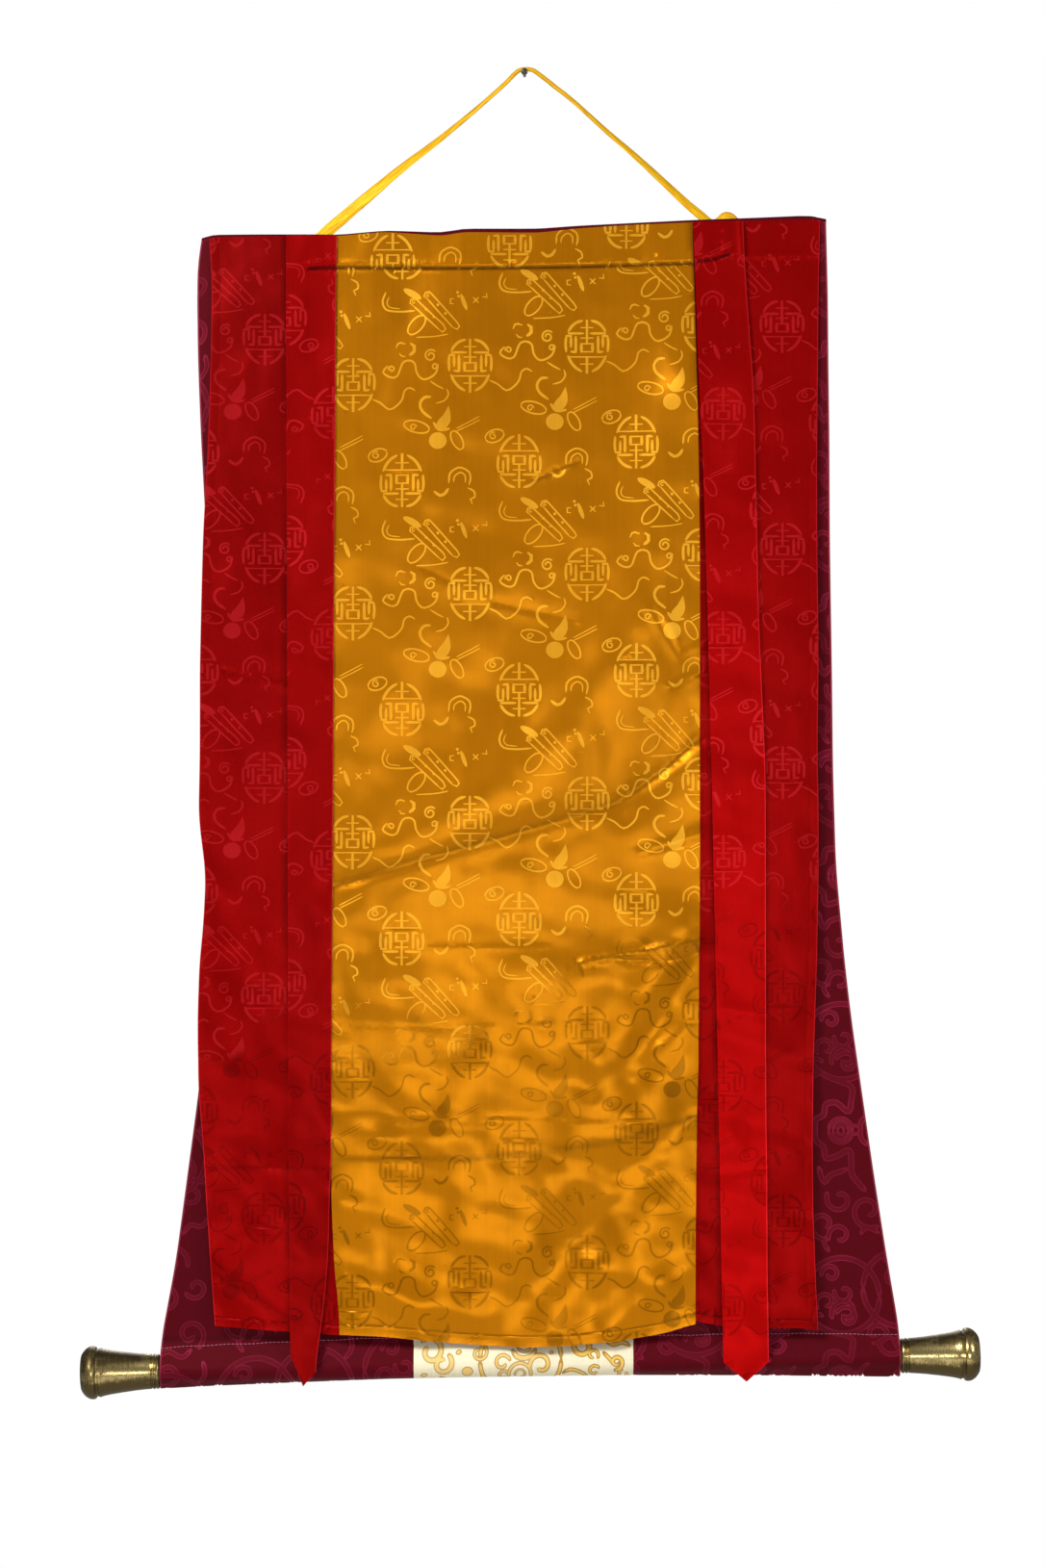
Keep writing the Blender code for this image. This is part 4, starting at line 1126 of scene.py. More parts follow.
class HungCloth:
    """One cloth of the cover: its outline and its hem, and the way from flat places to its hung shape."""

    def __init__(self, name):
        self.name = name
        self.sides, self.foot, self.forward, self.hem = cover_sheets()[name]
        self.sewn = name.startswith("cover")

    def grid(self, across, down):
        """Places at shares of the way across between the sides, and down from the head to the foot."""
        share, drop = np.meshgrid(across, down)
        x = 0.0 * share
        z = cover_top(x) + (self.foot(share, x) - cover_top(x)) * drop
        for _ in range(SETTLING_ROUNDS):
            left, right = self.sides(z)
            x = left + (right - left) * share
            z = cover_top(x) + (self.foot(share, x) - cover_top(x)) * drop
        return np.stack([x, z], axis=-1)

    def insets(self, places):
        """How far places lie inside the left side, the right side, the head and the foot."""
        x, z = places.T
        left, right = self.sides(z)
        share = np.clip((x - left) / (right - left), 0.0, 1.0)
        return x - left, right - x, cover_top(x) - z, z - self.foot(share, x)

    def weave(self, step):
        """The flat cloth cut along its figures: its points, its triangles and what each shows."""
        width, hem = COVER_WIDTHS[self.name], self.hem
        columns = stops(width, step, (0.0, 1.0, *(hem + place for place in HEM_COLUMNS))) / width
        hem_rows = 1.0 - (hem + np.array(HEM_ROWS)) / COVER_LENGTH
        rows = np.unique(np.concatenate([stops(COVER_LENGTH, step, HEAD_ROWS) / COVER_LENGTH, hem_rows]))
        grid = self.grid(columns, rows)
        creases = crease_places(COVER_CREASES)
        creases = creases[np.minimum.reduce(self.insets(creases)) > CREASE_MARGIN]
        inner = np.vstack([creases, grid[1:-1, 1:-1].reshape(-1, 2)])
        first_x, first_z, down, turn = DAMASK_ON[self.name]
        chart = [(level, loop * turn * (1.0, down / DAMASK_DOWN)) for level, loop in damask_chart()]
        box = (grid[..., 0].min(), grid[..., 0].max(), grid[..., 1].min(), grid[..., 1].max())
        figures, counts = repeated(chart, (first_x, first_z), DAMASK_ACROSS, down, box), None
        if self.name == "cover_centre":
            figures, counts = slipped_at_tuck(figures)
        figures = figures + side_bands(grid, COVER_EDGE_WIDTH, BRIGHT_EDGES[self.name])
        return woven_faces(rim_of(grid), inner, figures, counts)

    def hem_insets(self, places):
        """How far places lie inside the sides' edges, far where no hem shows there, and above the foot."""
        left, right, _, foot = self.insets(places)
        return np.minimum(left, right) + (NO_SIDE_HEM if self.name == "cover_centre" else 0.0), foot

    def hem_line(self, places, at, reach):
        """A line along the foot's hem, with a fainter one along the sides' hems."""
        side, below = self.hem_insets(places)
        return np.maximum(0.25 * np.exp(-(((side - at) / reach) ** 2)), np.exp(-(((below - at) / reach) ** 2)))

    def place(self, places):
        """The hem is one step thicker, with a groove where it is sewn."""
        x, z = places.T
        side, below = ((inset - self.hem) / 0.7 for inset in self.hem_insets(places))
        step_up = 0.5 * np.maximum(0.3 - 0.3 * np.tanh(side), 1.0 - np.tanh(below))
        rise = HEM_STEP * step_up - HEM_GROOVE * self.hem_line(places, self.hem, 0.8)
        rise = rise * (1.0 if self.sewn else NARROW_HEM_SHARE)
        return np.column_stack([x, cover_depth(x, z) - self.forward - rise, z])

    def shade(self, places):
        """Painted shade in creases, beside the ribbons and along the hem's two sewn lines, a painted highlight on
        the hem's fold, and painted light that changes from head to foot.
        """
        x, z = places.T
        # Painted shade in the creases, and below it beside the ribbons
        painted_shade = folded(x, z, PAINTED_CREASE_SHADE)
        sewn = 0.0
        if self.sewn:
            painted_shade = painted_shade + ribbon_painted_shadow(x, z)
            # Painted shade along the hem's two sewn lines
            sewn = self.hem_line(places, self.hem, 0.8) + 0.5 * self.hem_line(places, 0.6 * self.hem, 0.7)
        # Painted highlight along the hem's folded edges
        fold = np.exp(-((np.minimum(*self.hem_insets(places)) / 0.8) ** 2))
        # Painted light and shade, going from the head's value to the foot's
        head_light, foot_light = CLOTH_PAINTED_LIGHT[self.name]
        tone = head_light + (foot_light - head_light) * np.clip((TOP_LEVEL - z) / COVER_LENGTH, 0.0, 1.0)
        return tone * (1.0 - np.minimum(painted_shade, MOST_PAINTED_SHADE)) * (1.0 - 0.5 * sewn) * (1.0 + 0.18 * fold)

    def cut_size(self):
        """The cut width and length in metres: the mean width and the longest drop, with a hem at every edge."""
        grid = self.grid(np.linspace(0.0, 1.0, 21), np.linspace(0.0, 1.0, 101))
        width = (grid[:, -1, 0] - grid[:, 0, 0]).mean() + 2 * self.hem
        length = (grid[0, :, 1] - grid[-1, :, 1]).max() + 2 * self.hem
        return rounded(width * MM), rounded(length * MM)


def ribbon_painted_shadow(x, z):
    """The painted shadow just beside the left edge of each ribbon: how much darker the cover is there."""
    left = [x - ribbon.read("left", "z", z, 30.0) for ribbon in (LEFT_RIBBON, RIGHT_RIBBON)]
    return RIBBON_PAINTED_SHADOW * sum(np.exp(-(((edge + 0.8) / 1.7) ** 2)) for edge in left)


def cover_sheets():
    """The sides, head and foot of each cloth of the cover, how far forward it hangs and its hem's width."""

    def centre_sides(z):
        return COVER_SEAMS.read("left", "z", z, 20.0), COVER_SEAMS.read("right", "z", z, 20.0)

    def left_sides(z):
        return COVER_SIDES.read("left", "z", z, 16.0), centre_sides(z)[0] + SEAM_LAP

    def right_sides(z):
        return centre_sides(z)[1] - SEAM_LAP, COVER_SIDES.read("right", "z", z, 16.0)

    def centre_foot(_, x):
        return CENTRE_HEM.read("z", "x", x, 12.0)

    def side_foot(_, x):
        return SIDE_HEM.read("z", "x", x, 6.0)

    return {
        "cover_centre": (centre_sides, centre_foot, CENTRE_FORWARD, CENTRE_HEM_WIDTH),
        "cover_left": (left_sides, side_foot, 0.0, SIDE_HEM_WIDTH),
        "cover_right": (right_sides, side_foot, 0.0, SIDE_HEM_WIDTH),
        "ribbon_left": (*ribbon_shape(LEFT_RIBBON, LEFT_RIBBON_TIP), RIBBON_FORWARD, RIBBON_HEM_WIDTH),
        "ribbon_right": (*ribbon_shape(RIGHT_RIBBON, RIGHT_RIBBON_TIP), RIBBON_FORWARD, RIBBON_HEM_WIDTH),
    }


def ribbon_shape(edges, tip_levels):
    """A ribbon's sides, and its foot, which falls evenly from both shoulders to a point in the middle."""
    left_level, right_level, tip = tip_levels

    def sides(z):
        return edges.read("left", "z", z, 30.0), edges.read("right", "z", z, 30.0)

    def foot(share, _):
        shoulder = np.where(share < 0.5, left_level, right_level)
        return shoulder + (tip - shoulder) * (1.0 - np.abs(2.0 * share - 1.0))

    return sides, foot


def rod_height(x):
    """The height of the rod's axis at a place across."""
    return ROD_MIDDLE_HEIGHT + x * math.tan(ROD_SLOPE)


def mount_across(share, z):
    """The place across at a share of the way between the mount's sides, which spread towards the foot."""
    left = MOUNT_SIDES.read("left", "z", z, 20.0)
    right = MOUNT_SIDES.read("right", "z", z, 20.0)
    return left + (right - left) * share


def mount_paths(x):
    """The mount's middle line at places across: up the back of the slat, over it, down and round the rod.

    Gives the depths and the heights, one row for each place. The sleeve leaves the seam straight, runs
    round the rod and, where it hangs lower, straight to its foot.
    """
    x = np.atleast_1d(x)[:, None]
    top = TOP_EDGE.read("z", "x", x, 8.0)
    flap = np.array(TOP_FLAP)
    turn = np.linspace(0.0, math.pi, TURN_ROWS + 1)[:-1]
    seam = STITCH_LINE.read("z", "x", x, 20.0)
    middle = rod_height(x)
    fall = seam + (top - TOP_TURN - seam) * (1.0 - np.arange(FRONT_ROWS) / FRONT_ROWS)
    foot = np.maximum(SLEEVE_RADIUS, middle - SLEEVE_FOOT.read("z", "x", x, 20.0) - MOUNT_THICK / 2)
    round_rod = 2 * math.pi * np.arange(1, SLEEVE_STEPS) / SLEEVE_STEPS
    upper = np.arccos(SLEEVE_RADIUS / (seam - middle))
    lower = math.pi - np.arccos(SLEEVE_RADIUS / foot)
    side = np.minimum(round_rod, 2 * math.pi - round_rod)
    radius = SLEEVE_RADIUS / np.cos(np.maximum(np.maximum(upper - side, side - lower), 0.0))
    tail = seam + np.array(TAIL_LENGTHS)
    same = np.ones_like(x)
    depths = [
        flap[:, 0] * same, ((FLAP_DEPTH + FRONT_DEPTH) / 2 + TOP_TURN * np.cos(turn)) * same, mount_depth(fall),
        (ROD_DEPTH - SEAM_SPREAD) * same, ROD_DEPTH - radius * np.sin(round_rod), (ROD_DEPTH + SEAM_SPREAD) * same,
        mount_depth(tail) + 2 * SEAM_SPREAD,
    ]
    heights = [
        top + flap[:, 1], top - TOP_TURN + TOP_TURN * np.sin(turn), fall, seam,
        middle + radius * np.cos(round_rod), seam, tail,
    ]
    return np.hstack(depths), np.hstack(heights)


class WrappedCloth:
    """The way from flat cloth to the mount's shape: flat places are (across, length down the cloth)."""

    def __init__(self):
        self.columns = np.linspace(-390.0, 400.0, 159)
        self.depths, self.heights = mount_paths(self.columns)
        middle = len(self.columns) // 2
        steps = np.hypot(np.diff(self.depths[middle]), np.diff(self.heights[middle]))
        self.down = -np.concatenate([[0.0], np.cumsum(steps)])
        self.down -= self.down[FLAP_ROWS]
        self.head, self.foot = self.down[0], self.down[-1]
        self.door_top = self.down[FLAP_ROWS + DOOR_TOP_ROW]
        self.seam = self.down[FLAP_ROWS + FRONT_ROWS]

    def lifted(self, places):
        """Depth and height by even steps between the nearest columns and rows of the mount's lines."""
        x, length = places.T
        rows = np.interp(-length, -self.down, np.arange(len(self.down)))
        columns = np.interp(x, self.columns, np.arange(len(self.columns)))
        row = np.minimum(rows.astype(int), len(self.down) - 2)
        column = np.minimum(columns.astype(int), len(self.columns) - 2)
        share_row, share_column = rows - row, columns - column

        def read(table):
            upper = table[column, row] * (1 - share_row) + table[column, row + 1] * share_row
            lower = table[column + 1, row] * (1 - share_row) + table[column + 1, row + 1] * share_row
            return upper * (1 - share_column) + lower * share_column

        return read(self.depths), read(self.heights)

    def length_at(self, z):
        """How far down the cloth its middle line's front reaches a height. Below its foot it goes straight on."""
        rows = slice(FLAP_ROWS, FLAP_ROWS + FRONT_ROWS + SLEEVE_STEPS // 2)
        heights, lengths = self.heights[len(self.columns) // 2, rows], self.down[rows]
        return np.interp(-z, -heights, lengths) + np.minimum(z - heights[-1], 0.0)

    def grid(self, across, down):
        """Flat places at shares of the way across and at lengths down the cloth."""
        share, length = np.meshgrid(across, down)
        x = mount_across(share, MOUNT_MIDDLE)
        for _ in range(SETTLING_ROUNDS):
            _, height = self.lifted(np.column_stack([x.ravel(), length.ravel()]))
            x = mount_across(share, height.reshape(x.shape))
        return np.stack([x, length], axis=-1)

    def seam_painted_shade(self, places, strength):
        """Painted shade above and below the seam, where the sleeve draws in."""
        return 1.0 - strength * np.exp(-(((places[:, 1] - self.seam) / 2.2) ** 2))


def build_stage(context):
    """Camera, lights, world and floor. The world is white to the camera and a soft grey to the object."""
    camera_data = bpy.data.cameras.new("camera")
    camera_data.sensor_fit = "VERTICAL"
    camera_data.sensor_height = SENSOR_HEIGHT
    camera_data.lens = SENSOR_HEIGHT * PICTURE_DISTANCE / PICTURE_HEIGHT
    camera = bpy.data.objects.new("camera", camera_data)
    camera.location = CAMERA_PLACE
    camera.rotation_euler = (math.pi / 2, 0.0, 0.0)
    context.scene.collection.objects.link(camera)
    context.scene.camera = camera
    context.scene.view_settings.view_transform = "Standard"
    target = Vector(LAMP_TARGET)
    for name, place, (width, height), power in LAMPS:
        light = bpy.data.lights.new(name, "AREA")
        light.shape = "RECTANGLE"
        light.size, light.size_y = width, height
        light.energy = power
        lamp = bpy.data.objects.new(name, light)
        lamp.location = place
        lamp.rotation_euler = (target - Vector(place)).to_track_quat("-Z", "Y").to_euler()
        context.scene.collection.objects.link(lamp)
    world = bpy.data.worlds.new("studio")
    world.use_nodes = True
    context.scene.world = world
    tree = world.node_tree
    seen = tree.nodes["Background"]
    seen.inputs["Color"].default_value = (1.0, 1.0, 1.0, 1.0)
    start = Shade(tree, None)
    fill = start.node("ShaderNodeBackground", (), {"Color": (1.0, 1.0, 1.0, 1.0), "Strength": WORLD_FILL})
    direct = start.node("ShaderNodeLightPath", output="Is Camera Ray")
    both = start.node("ShaderNodeMixShader", (), {0: direct, 1: fill, 2: Shade(tree, seen.outputs[0])})
    tree.links.new(both.socket, tree.nodes["World Output"].inputs["Surface"])
    floor = bpy.data.meshes.new("floor")
    floor.from_pydata([(x, y, FLOOR_LEVEL) for x, y in FLOOR_CORNERS], [], [(0, 1, 2, 3)])
    finish = Finish("pale_floor", Roughness=0.9)
    faint = finish.noise(finish.place(), 3.0, 2.0).eased(0.2, 0.8)
    floor.materials.append(finish.use(Base_Color=faint.blend(rgb((0.84,) * 3), rgb((0.88,) * 3))))
    ground = bpy.data.objects.new("floor", floor)
    context.scene.collection.objects.link(ground)


def build_cord(context):
    """The flat silk cord: a flattened oval with strands, carried along its route and turned on the way."""
    route = smooth_line(CORD_ROUTE, 3.0)
    along = np.concatenate([[0.0], np.cumsum(np.linalg.norm(np.diff(route, axis=0), axis=1))])
    ahead = np.gradient(route, axis=0)
    ahead /= np.linalg.norm(ahead, axis=1)[:, None]
    side = np.cross(ahead, (0.0, 1.0, 0.0))
    side /= np.linalg.norm(side, axis=1)[:, None]
    front = np.cross(side, ahead)
    turn = np.radians(CORD_TURNS.read("turn", "along", along, 20.0))[:, None]
    scale = context.scene.thangka_sizes.cord_width / (CORD_WIDTH * MM)
    half_width = CORD_TURNS.read("width", "along", along, 20.0)[:, None] / 2 * scale
    half_thick = CORD_TURNS.read("thick", "along", along, 20.0)[:, None] / 2
    flat_way = side * np.cos(turn) + front * np.sin(turn)
    thick_way = front * np.cos(turn) - side * np.sin(turn)
    angle = np.linspace(0.0, 2 * math.pi, 28, endpoint=False)
    strands = 1.0 + 0.07 * np.sin(7 * angle + along[:, None] / 14.0)
    oval = (
        route[:, None]
        + flat_way[:, None] * (half_width * np.cos(angle) * strands)[..., None]
        + thick_way[:, None] * (half_thick * np.sin(angle) * strands)[..., None]
    )
    colours = context.scene.thangka_colours
    points, faces = closed_tube(oval, route[0], route[-1])
    cord = mesh_piece("silk_cord", points * MM, faces, cord_silk(colours.cord, colours.cord_hollow_shade))
    ring_share = np.tile(np.abs(angle / math.pi - 1.0), len(route))
    places = np.column_stack([ring_share * 0.25, np.repeat(along / 900.0, len(angle))])
    write_uv(cord.data, np.vstack([places, places[:1], places[-1:]]))
    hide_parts("hanging_cord")


def rounded(value):
    return round(float(value), 3)


def hang_silk(context, name, material):
    """Makes one cloth of the cover and hides the solid it stands for."""
    cloth = HungCloth(name)
    flat, triangles, shown = cloth.weave(context.scene.thangka_sizes.cloth_step / MM)
    piece = cloth_piece(name + "_silk", flat, triangles, shown, cloth.place, cloth.shade, COVER_THICK, material)
    # The contrast attribute drives the damask's painted sheen
    write_attribute(piece.data, "contrast", "POINT", np.tile(figure_sheen_contrast(flat), 2))
    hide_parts(name)
    cloth.cut_size()


def red_silk(name, colours, figure):
    """The red damask, whose figure is a little lighter on the ribbons."""
    return damask_silk(name, colours.red, figure, colours.red_edge_highlight, (1.0, 0.14, 0.14), (0.36, 0.45), 0.36)


def build_cover(context):
    """The cover's three panels of silk damask."""
    colours = context.scene.thangka_colours
    yellow = damask_silk(
        "yellow_silk", colours.yellow, colours.yellow_figure, colours.yellow, (1.0, 0.90, 0.16), (0.25, 0.38), 0.33
    )
    red = red_silk("red_silk", colours, colours.red_figure)
    hang_silk(context, "cover_centre", yellow)
    for name in ("cover_left", "cover_right"):
        hang_silk(context, name, red)


def build_ribbons(context):
    """The two long red ribbons with pointed ends."""
    colours = context.scene.thangka_colours
    red = red_silk("ribbon_silk", colours, colours.ribbon_figure)
    for name in ("ribbon_left", "ribbon_right"):
        hang_silk(context, name, red)


def mount_rim(cloth, grid, rows):
    """The mount's outer loop: round the grid, and at its foot up, over and down the door's opening."""
    foot_row = grid[-1]
    left_foot, right_foot = foot_row[foot_row[:, 0] < DOOR_LEFT], foot_row[foot_row[:, 0] > DOOR_RIGHT]
    side_rows = rows[rows < cloth.door_top - 1.0]
    notch = np.vstack([
        np.column_stack([np.full(len(side_rows), DOOR_LEFT), side_rows[::-1]]),
        np.column_stack([np.linspace(DOOR_LEFT, DOOR_RIGHT, 24), np.full(24, cloth.door_top)]),
        np.column_stack([np.full(len(side_rows), DOOR_RIGHT), side_rows]),
    ])
    return np.vstack([grid[:, 0], left_foot[1:], notch, right_foot, grid[-2::-1, -1], grid[0, -2:0:-1]])


def build_mount(context):
    """The maroon brocade mount, one cloth from behind the slat to behind the rod, with an opening for the door."""
    colours = context.scene.thangka_colours
    core = [0.6 * a + 0.4 * b for a, b in zip(colours.maroon, colours.maroon_figure)]
    material = brocade(
        "maroon_brocade", colours.maroon, colours.maroon_figure, core, colours.maroon_edge_highlight, (1.0, 0.5)
    )
    cloth = WrappedCloth()
    head, seam, foot = cloth.head, cloth.seam, cloth.foot
    step = 2.4 * context.scene.thangka_sizes.cloth_step / MM
    rows = np.concatenate([
        np.linspace(head, 20.0, 10), np.linspace(8.0, -8.0, 9), np.linspace(-20.0, seam + 30.0, 90),
        np.linspace(seam + 20.0, seam + 2.0, 7), np.linspace(seam, foot, 60),
    ])
    grid = cloth.grid(stops(MOUNT_WIDTH, step, (0.0, 2.0, 6.0, 12.0, 20.0)) / MOUNT_WIDTH, rows)
    inner = grid[1:-1, 1:-1].reshape(-1, 2)
    sleeve_rows = np.linspace(seam - 0.8, seam - SLEEVE_LENGTH, 38)
    sleeve = cloth.grid(np.linspace(0.004, 0.996, 250), sleeve_rows).reshape(-1, 2)
    inner = np.vstack([inner[inner[:, 1] > seam], sleeve, inner[inner[:, 1] < seam - SLEEVE_LENGTH - 1.0]])
    x, length = inner.T
    inner = inner[(x <= DOOR_LEFT - 2.0) | (x >= DOOR_RIGHT + 2.0) | (length >= cloth.door_top + 2.0)]
    chart = banded_chart(strokes_of(CLOUD_LINES, CLOUD_RINGS, CLOUD_CURLS), (), CLOUD_BAND)
    first = (CLOUD_FIRST[0], CLOUD_FIRST[1] - TOP_LEVEL)
    figures = repeated(chart, first, CLOUD_ACROSS, CLOUD_DOWN, (-385.0, 395.0, foot, head))
    figures = [(level, loop) for level, loop in figures if not_covered(loop)]
    figures += side_bands(grid, MOUNT_EDGE_WIDTH)
    flat, triangles, shown = woven_faces(mount_rim(cloth, grid, rows), inner, figures)
    lengths = flat[triangles].mean(1)[:, 1]
    shown[(lengths > 0.0) | (lengths < seam - SLEEVE_LENGTH - 2.0)] = GROUND

    def place(places):
        depth, height = cloth.lifted(places)
        return np.column_stack([places[:, 0], depth + mount_wrinkles(places, seam), height])

    def shade(places):
        return cloth.seam_painted_shade(places, 0.35)

    piece = cloth_piece("mount_brocade", flat, triangles, shown, place, shade, MOUNT_THICK, material, True)
    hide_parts("mount_cloth")
    cut_length = (head - foot) * MM
    rounded(MOUNT_CUT_WIDTH * cut_length * MOUNT_CUT_SHARE)
    build_stitches(context, cloth)


def mount_wrinkles(places, seam):
    """Faint waves on the flat front, which die away at the head and at the seam."""
    x, length = places.T
    share = np.clip(-length / 60.0, 0.0, 1.0) * np.clip((length - seam) / 40.0, 0.0, 1.0)
    return -share * (0.8 * np.sin(x / 41.0 + length / 190.0) + 0.5 * np.sin(length / 57.0 - x / 150.0))


def not_covered(loop):
    """Whether a figure lies where the cover doesn't hide it: near the sides and at the foot."""
    x, length = loop.mean(0)
    return length < -1115.0 or x < -300.0 or x > 280.0


def build_stitches(context, cloth):
    """The paler stitches that close the sleeve, beside the door panel.

    Each is a thin arched tube: its middle stands proud and both ends dip into the cloth. Their line
    wanders as the sum of two sines.
    """
    starts = np.arange(-377.0, 386.0, STITCH_PITCH)
    starts = starts[(starts < DOOR_LEFT - 3.0) | (starts > DOOR_RIGHT + 1.0)]
    fall = np.interp(starts, *np.array(STITCH_FALL, float).T)
    wander = 0.5 * np.sin(starts / 31.0) + 0.3 * np.sin(starts / 7.3) - fall
    line = np.column_stack([starts, np.full(len(starts), cloth.seam + 1.2) + wander])
    share = np.linspace(0.0, 1.0, STITCH_SIDES)
    angle = np.linspace(0.0, 2 * math.pi, STITCH_SIDES, endpoint=False)
    along = line[:, None] + np.array((STITCH_LENGTH, 0.0)) * share[:, None]
    depth, height = cloth.lifted(along.reshape(-1, 2))
    thread = context.scene.thangka_sizes.stitch_width / MM / 2
    rise = np.tile(0.55 * np.sin(math.pi * share) - 0.1, len(starts))
    centre = np.column_stack([along[..., 0].ravel(), depth - MOUNT_THICK / 2 - rise, height])
    ring = np.column_stack([np.zeros(STITCH_SIDES), np.cos(angle), np.sin(angle)]) * thread
    points = (centre[:, None] + ring).reshape(-1, 3)
    index = np.arange(len(points)).reshape(len(starts), STITCH_SIDES, STITCH_SIDES)
    after = np.roll(index, -1, axis=2)
    quads = np.stack([index[:, :-1], after[:, :-1], after[:, 1:], index[:, 1:]], axis=-1).reshape(-1, 4)
    caps = np.vstack([index[:, 0, ::-1], index[:, -1]])
    material = thread_silk(context.scene.thangka_colours.thread)
    mesh_piece("sleeve_stitches", points * MM, [quads, caps], material)


def build_door(context):
    """The ivory brocade panel in the mount's foot, with its gold clouds."""
    colours = context.scene.thangka_colours
    material = brocade(
        "ivory_brocade", colours.ivory, colours.gold_line, colours.gold, colours.ivory, (1.0, 0.8), (0.36, 0.42)
    )
    cloth = WrappedCloth()
    head = cloth.door_top - GAP
    left, right = DOOR_LEFT + GAP, DOOR_RIGHT - GAP
    rows = np.concatenate([np.linspace(head, cloth.seam + 4.0, 44), np.linspace(cloth.seam, cloth.foot, 60)])
    share, length = np.meshgrid(np.linspace(0.0, 1.0, 46), rows)
    grid = np.stack([left + (right - left) * share, length], axis=-1)
    chart = banded_chart(strokes_of(GOLD_LINES, GOLD_RINGS, GOLD_CURLS), GOLD_DROPS, GOLD_BAND)
    figures = [(level, np.column_stack([loop[:, 0], cloth.length_at(loop[:, 1])])) for level, loop in chart]
    flat, triangles, shown = woven_faces(rim_of(grid), grid[1:-1, 1:-1].reshape(-1, 2), figures)

    def place(places):
        depth, height = cloth.lifted(places)
        return np.column_stack([places[:, 0], depth, height])

    def shade(places):
        return cloth.seam_painted_shade(places, 0.3)

    piece = cloth_piece("door_brocade", flat, triangles, shown, place, shade, MOUNT_THICK, material, True)
    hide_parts("door_panel")
    cut_size = (rounded((right - left) * MM), rounded((head - cloth.foot) * MM))


def build_knobs(context):
    """The two turned knobs: a half section carried round the rod's line."""
    colours = context.scene.thangka_colours
    material = antique_brass(colours.brass, colours.patina)
    section = np.array(KNOB_PROFILE)
    up = np.array((-math.sin(ROD_SLOPE), 0.0, math.cos(ROD_SLOPE)))
    out = np.array((0.0, -1.0, 0.0))
    angle = np.linspace(0.0, 2 * math.pi, KNOB_STEPS, endpoint=False)
    for name, start, way in (("knob_left", LEFT_KNOB_START, -1), ("knob_right", RIGHT_KNOB_START, 1)):
        along = np.array((math.cos(ROD_SLOPE), 0.0, math.sin(ROD_SLOPE))) * way
        around = np.outer(np.cos(angle), up) + np.outer(np.sin(angle), out) * way
        middle = np.array((start, ROD_DEPTH, rod_height(start)))
        rings = middle + section[1:-1, None, :1] * along + section[1:-1, None, 1:] * around
        points, faces = closed_tube(rings, middle + section[0, 0] * along, middle + section[-1, 0] * along)
        knob = mesh_piece(name + "_brass", points * MM, faces, material, 32.0)
        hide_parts(name)


def build_wood_and_iron(context):
    """The rod, the slat and the nail keep their solids and get their finishes."""
    rod_wood = wood("rod_wood", (0.36, 0.22, 0.11), (0.20, 0.11, 0.05))
    slat_wood = wood("slat_wood", (0.42, 0.28, 0.15), (0.26, 0.15, 0.07))
    for name, material in (("lower_rod", rod_wood), ("top_slat", slat_wood), ("wall_nail", iron())):
        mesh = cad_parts[name].data
        mesh.materials.clear()
        mesh.materials.append(material)


class ThangkaOperator:
    """What every step's operator shares."""

    bl_options = {"REGISTER", "UNDO"}

    def execute(self, context):
        type(self).build(context)
        return {"FINISHED"}


class THANGKA_OT_stage(ThangkaOperator, bpy.types.Operator):
    """Sets up the camera, the soft lights and the floor"""

    bl_idname = "thangka.stage"
    bl_label = "Stage"
    build = staticmethod(build_stage)


class THANGKA_OT_cord(ThangkaOperator, bpy.types.Operator):
    """Makes the flat silk cord over the nail"""

    bl_idname = "thangka.cord"
    bl_label = "Hanging cord"
    build = staticmethod(build_cord)


class THANGKA_OT_cover(ThangkaOperator, bpy.types.Operator):
    """Hangs the three damask panels of the cover"""

    bl_idname = "thangka.cover"
    bl_label = "Silk cover"
    build = staticmethod(build_cover)


class THANGKA_OT_ribbons(ThangkaOperator, bpy.types.Operator):
    """Hangs the two pointed ribbons"""

    bl_idname = "thangka.ribbons"
    bl_label = "Ribbons"
    build = staticmethod(build_ribbons)


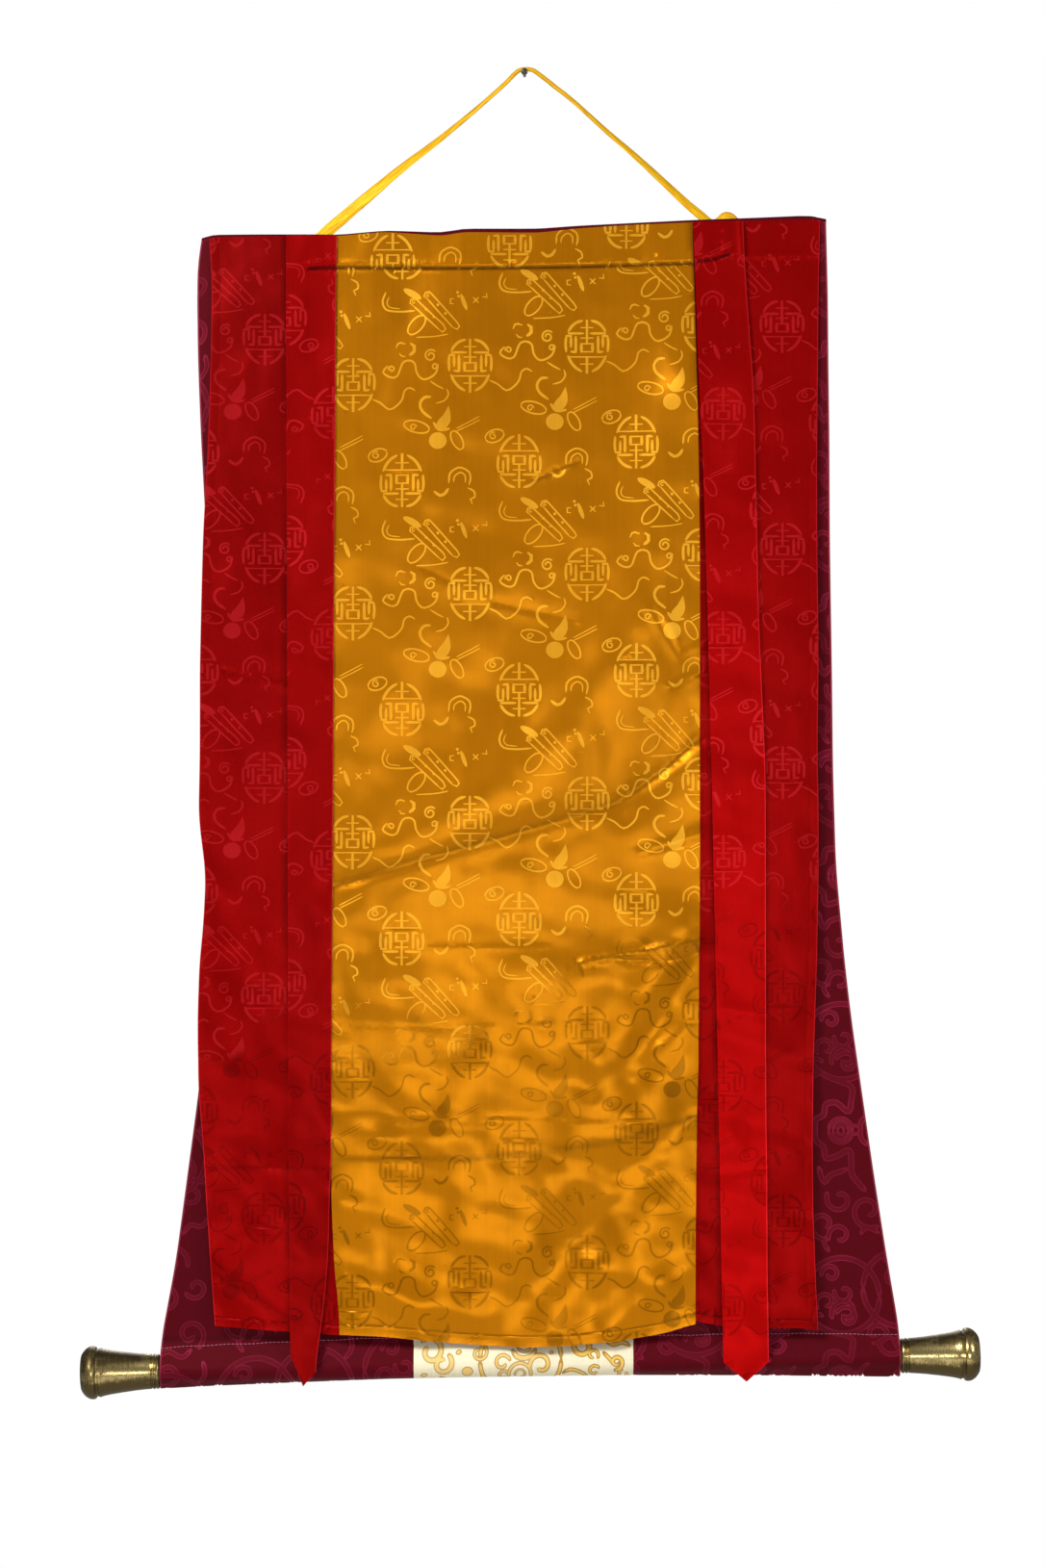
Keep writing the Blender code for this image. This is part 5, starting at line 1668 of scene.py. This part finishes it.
class THANGKA_OT_mount(ThangkaOperator, bpy.types.Operator):
    """Makes the maroon brocade mount and its sewn sleeve"""

    bl_idname = "thangka.mount"
    bl_label = "Brocade mount"
    build = staticmethod(build_mount)


class THANGKA_OT_door(ThangkaOperator, bpy.types.Operator):
    """Makes the ivory and gold panel in the mount's foot"""

    bl_idname = "thangka.door"
    bl_label = "Door panel"
    build = staticmethod(build_door)


class THANGKA_OT_knobs(ThangkaOperator, bpy.types.Operator):
    """Turns the two brass knobs"""

    bl_idname = "thangka.knobs"
    bl_label = "Brass knobs"
    build = staticmethod(build_knobs)


class THANGKA_OT_wood_and_iron(ThangkaOperator, bpy.types.Operator):
    """Finishes the rod, the slat and the nail"""

    bl_idname = "thangka.wood_and_iron"
    bl_label = "Rod, slat and nail"
    build = staticmethod(build_wood_and_iron)


STEPS = (
    THANGKA_OT_stage, THANGKA_OT_cord, THANGKA_OT_cover, THANGKA_OT_ribbons, THANGKA_OT_mount, THANGKA_OT_door,
    THANGKA_OT_knobs, THANGKA_OT_wood_and_iron,
)


class THANGKA_PT_panel(bpy.types.Panel):
    """Lists the steps and their sizes and colours."""

    bl_label = "Thangka scroll"
    bl_idname = "THANGKA_PT_panel"
    bl_space_type = "VIEW_3D"
    bl_region_type = "UI"
    bl_category = "Thangka"

    def draw(self, context):
        for group in (context.scene.thangka_sizes, context.scene.thangka_colours):
            for name in group.bl_rna.properties.keys():
                if name not in ("rna_type", "name"):
                    self.layout.prop(group, name)
        for step in STEPS:
            self.layout.operator(step.bl_idname)


CLASSES = (ThangkaSizes, ThangkaColours, *STEPS, THANGKA_PT_panel)


def register():
    for each in CLASSES:
        bpy.utils.register_class(each)
    bpy.types.Scene.thangka_sizes = bpy.props.PointerProperty(type=ThangkaSizes)
    bpy.types.Scene.thangka_colours = bpy.props.PointerProperty(type=ThangkaColours)


def unregister():
    del bpy.types.Scene.thangka_colours
    del bpy.types.Scene.thangka_sizes
    for each in reversed(CLASSES):
        bpy.utils.unregister_class(each)


def main():
    register()
    for step in STEPS:
        getattr(bpy.ops.thangka, step.bl_idname.split(".")[1])()


if __name__ == "__main__":
    main()
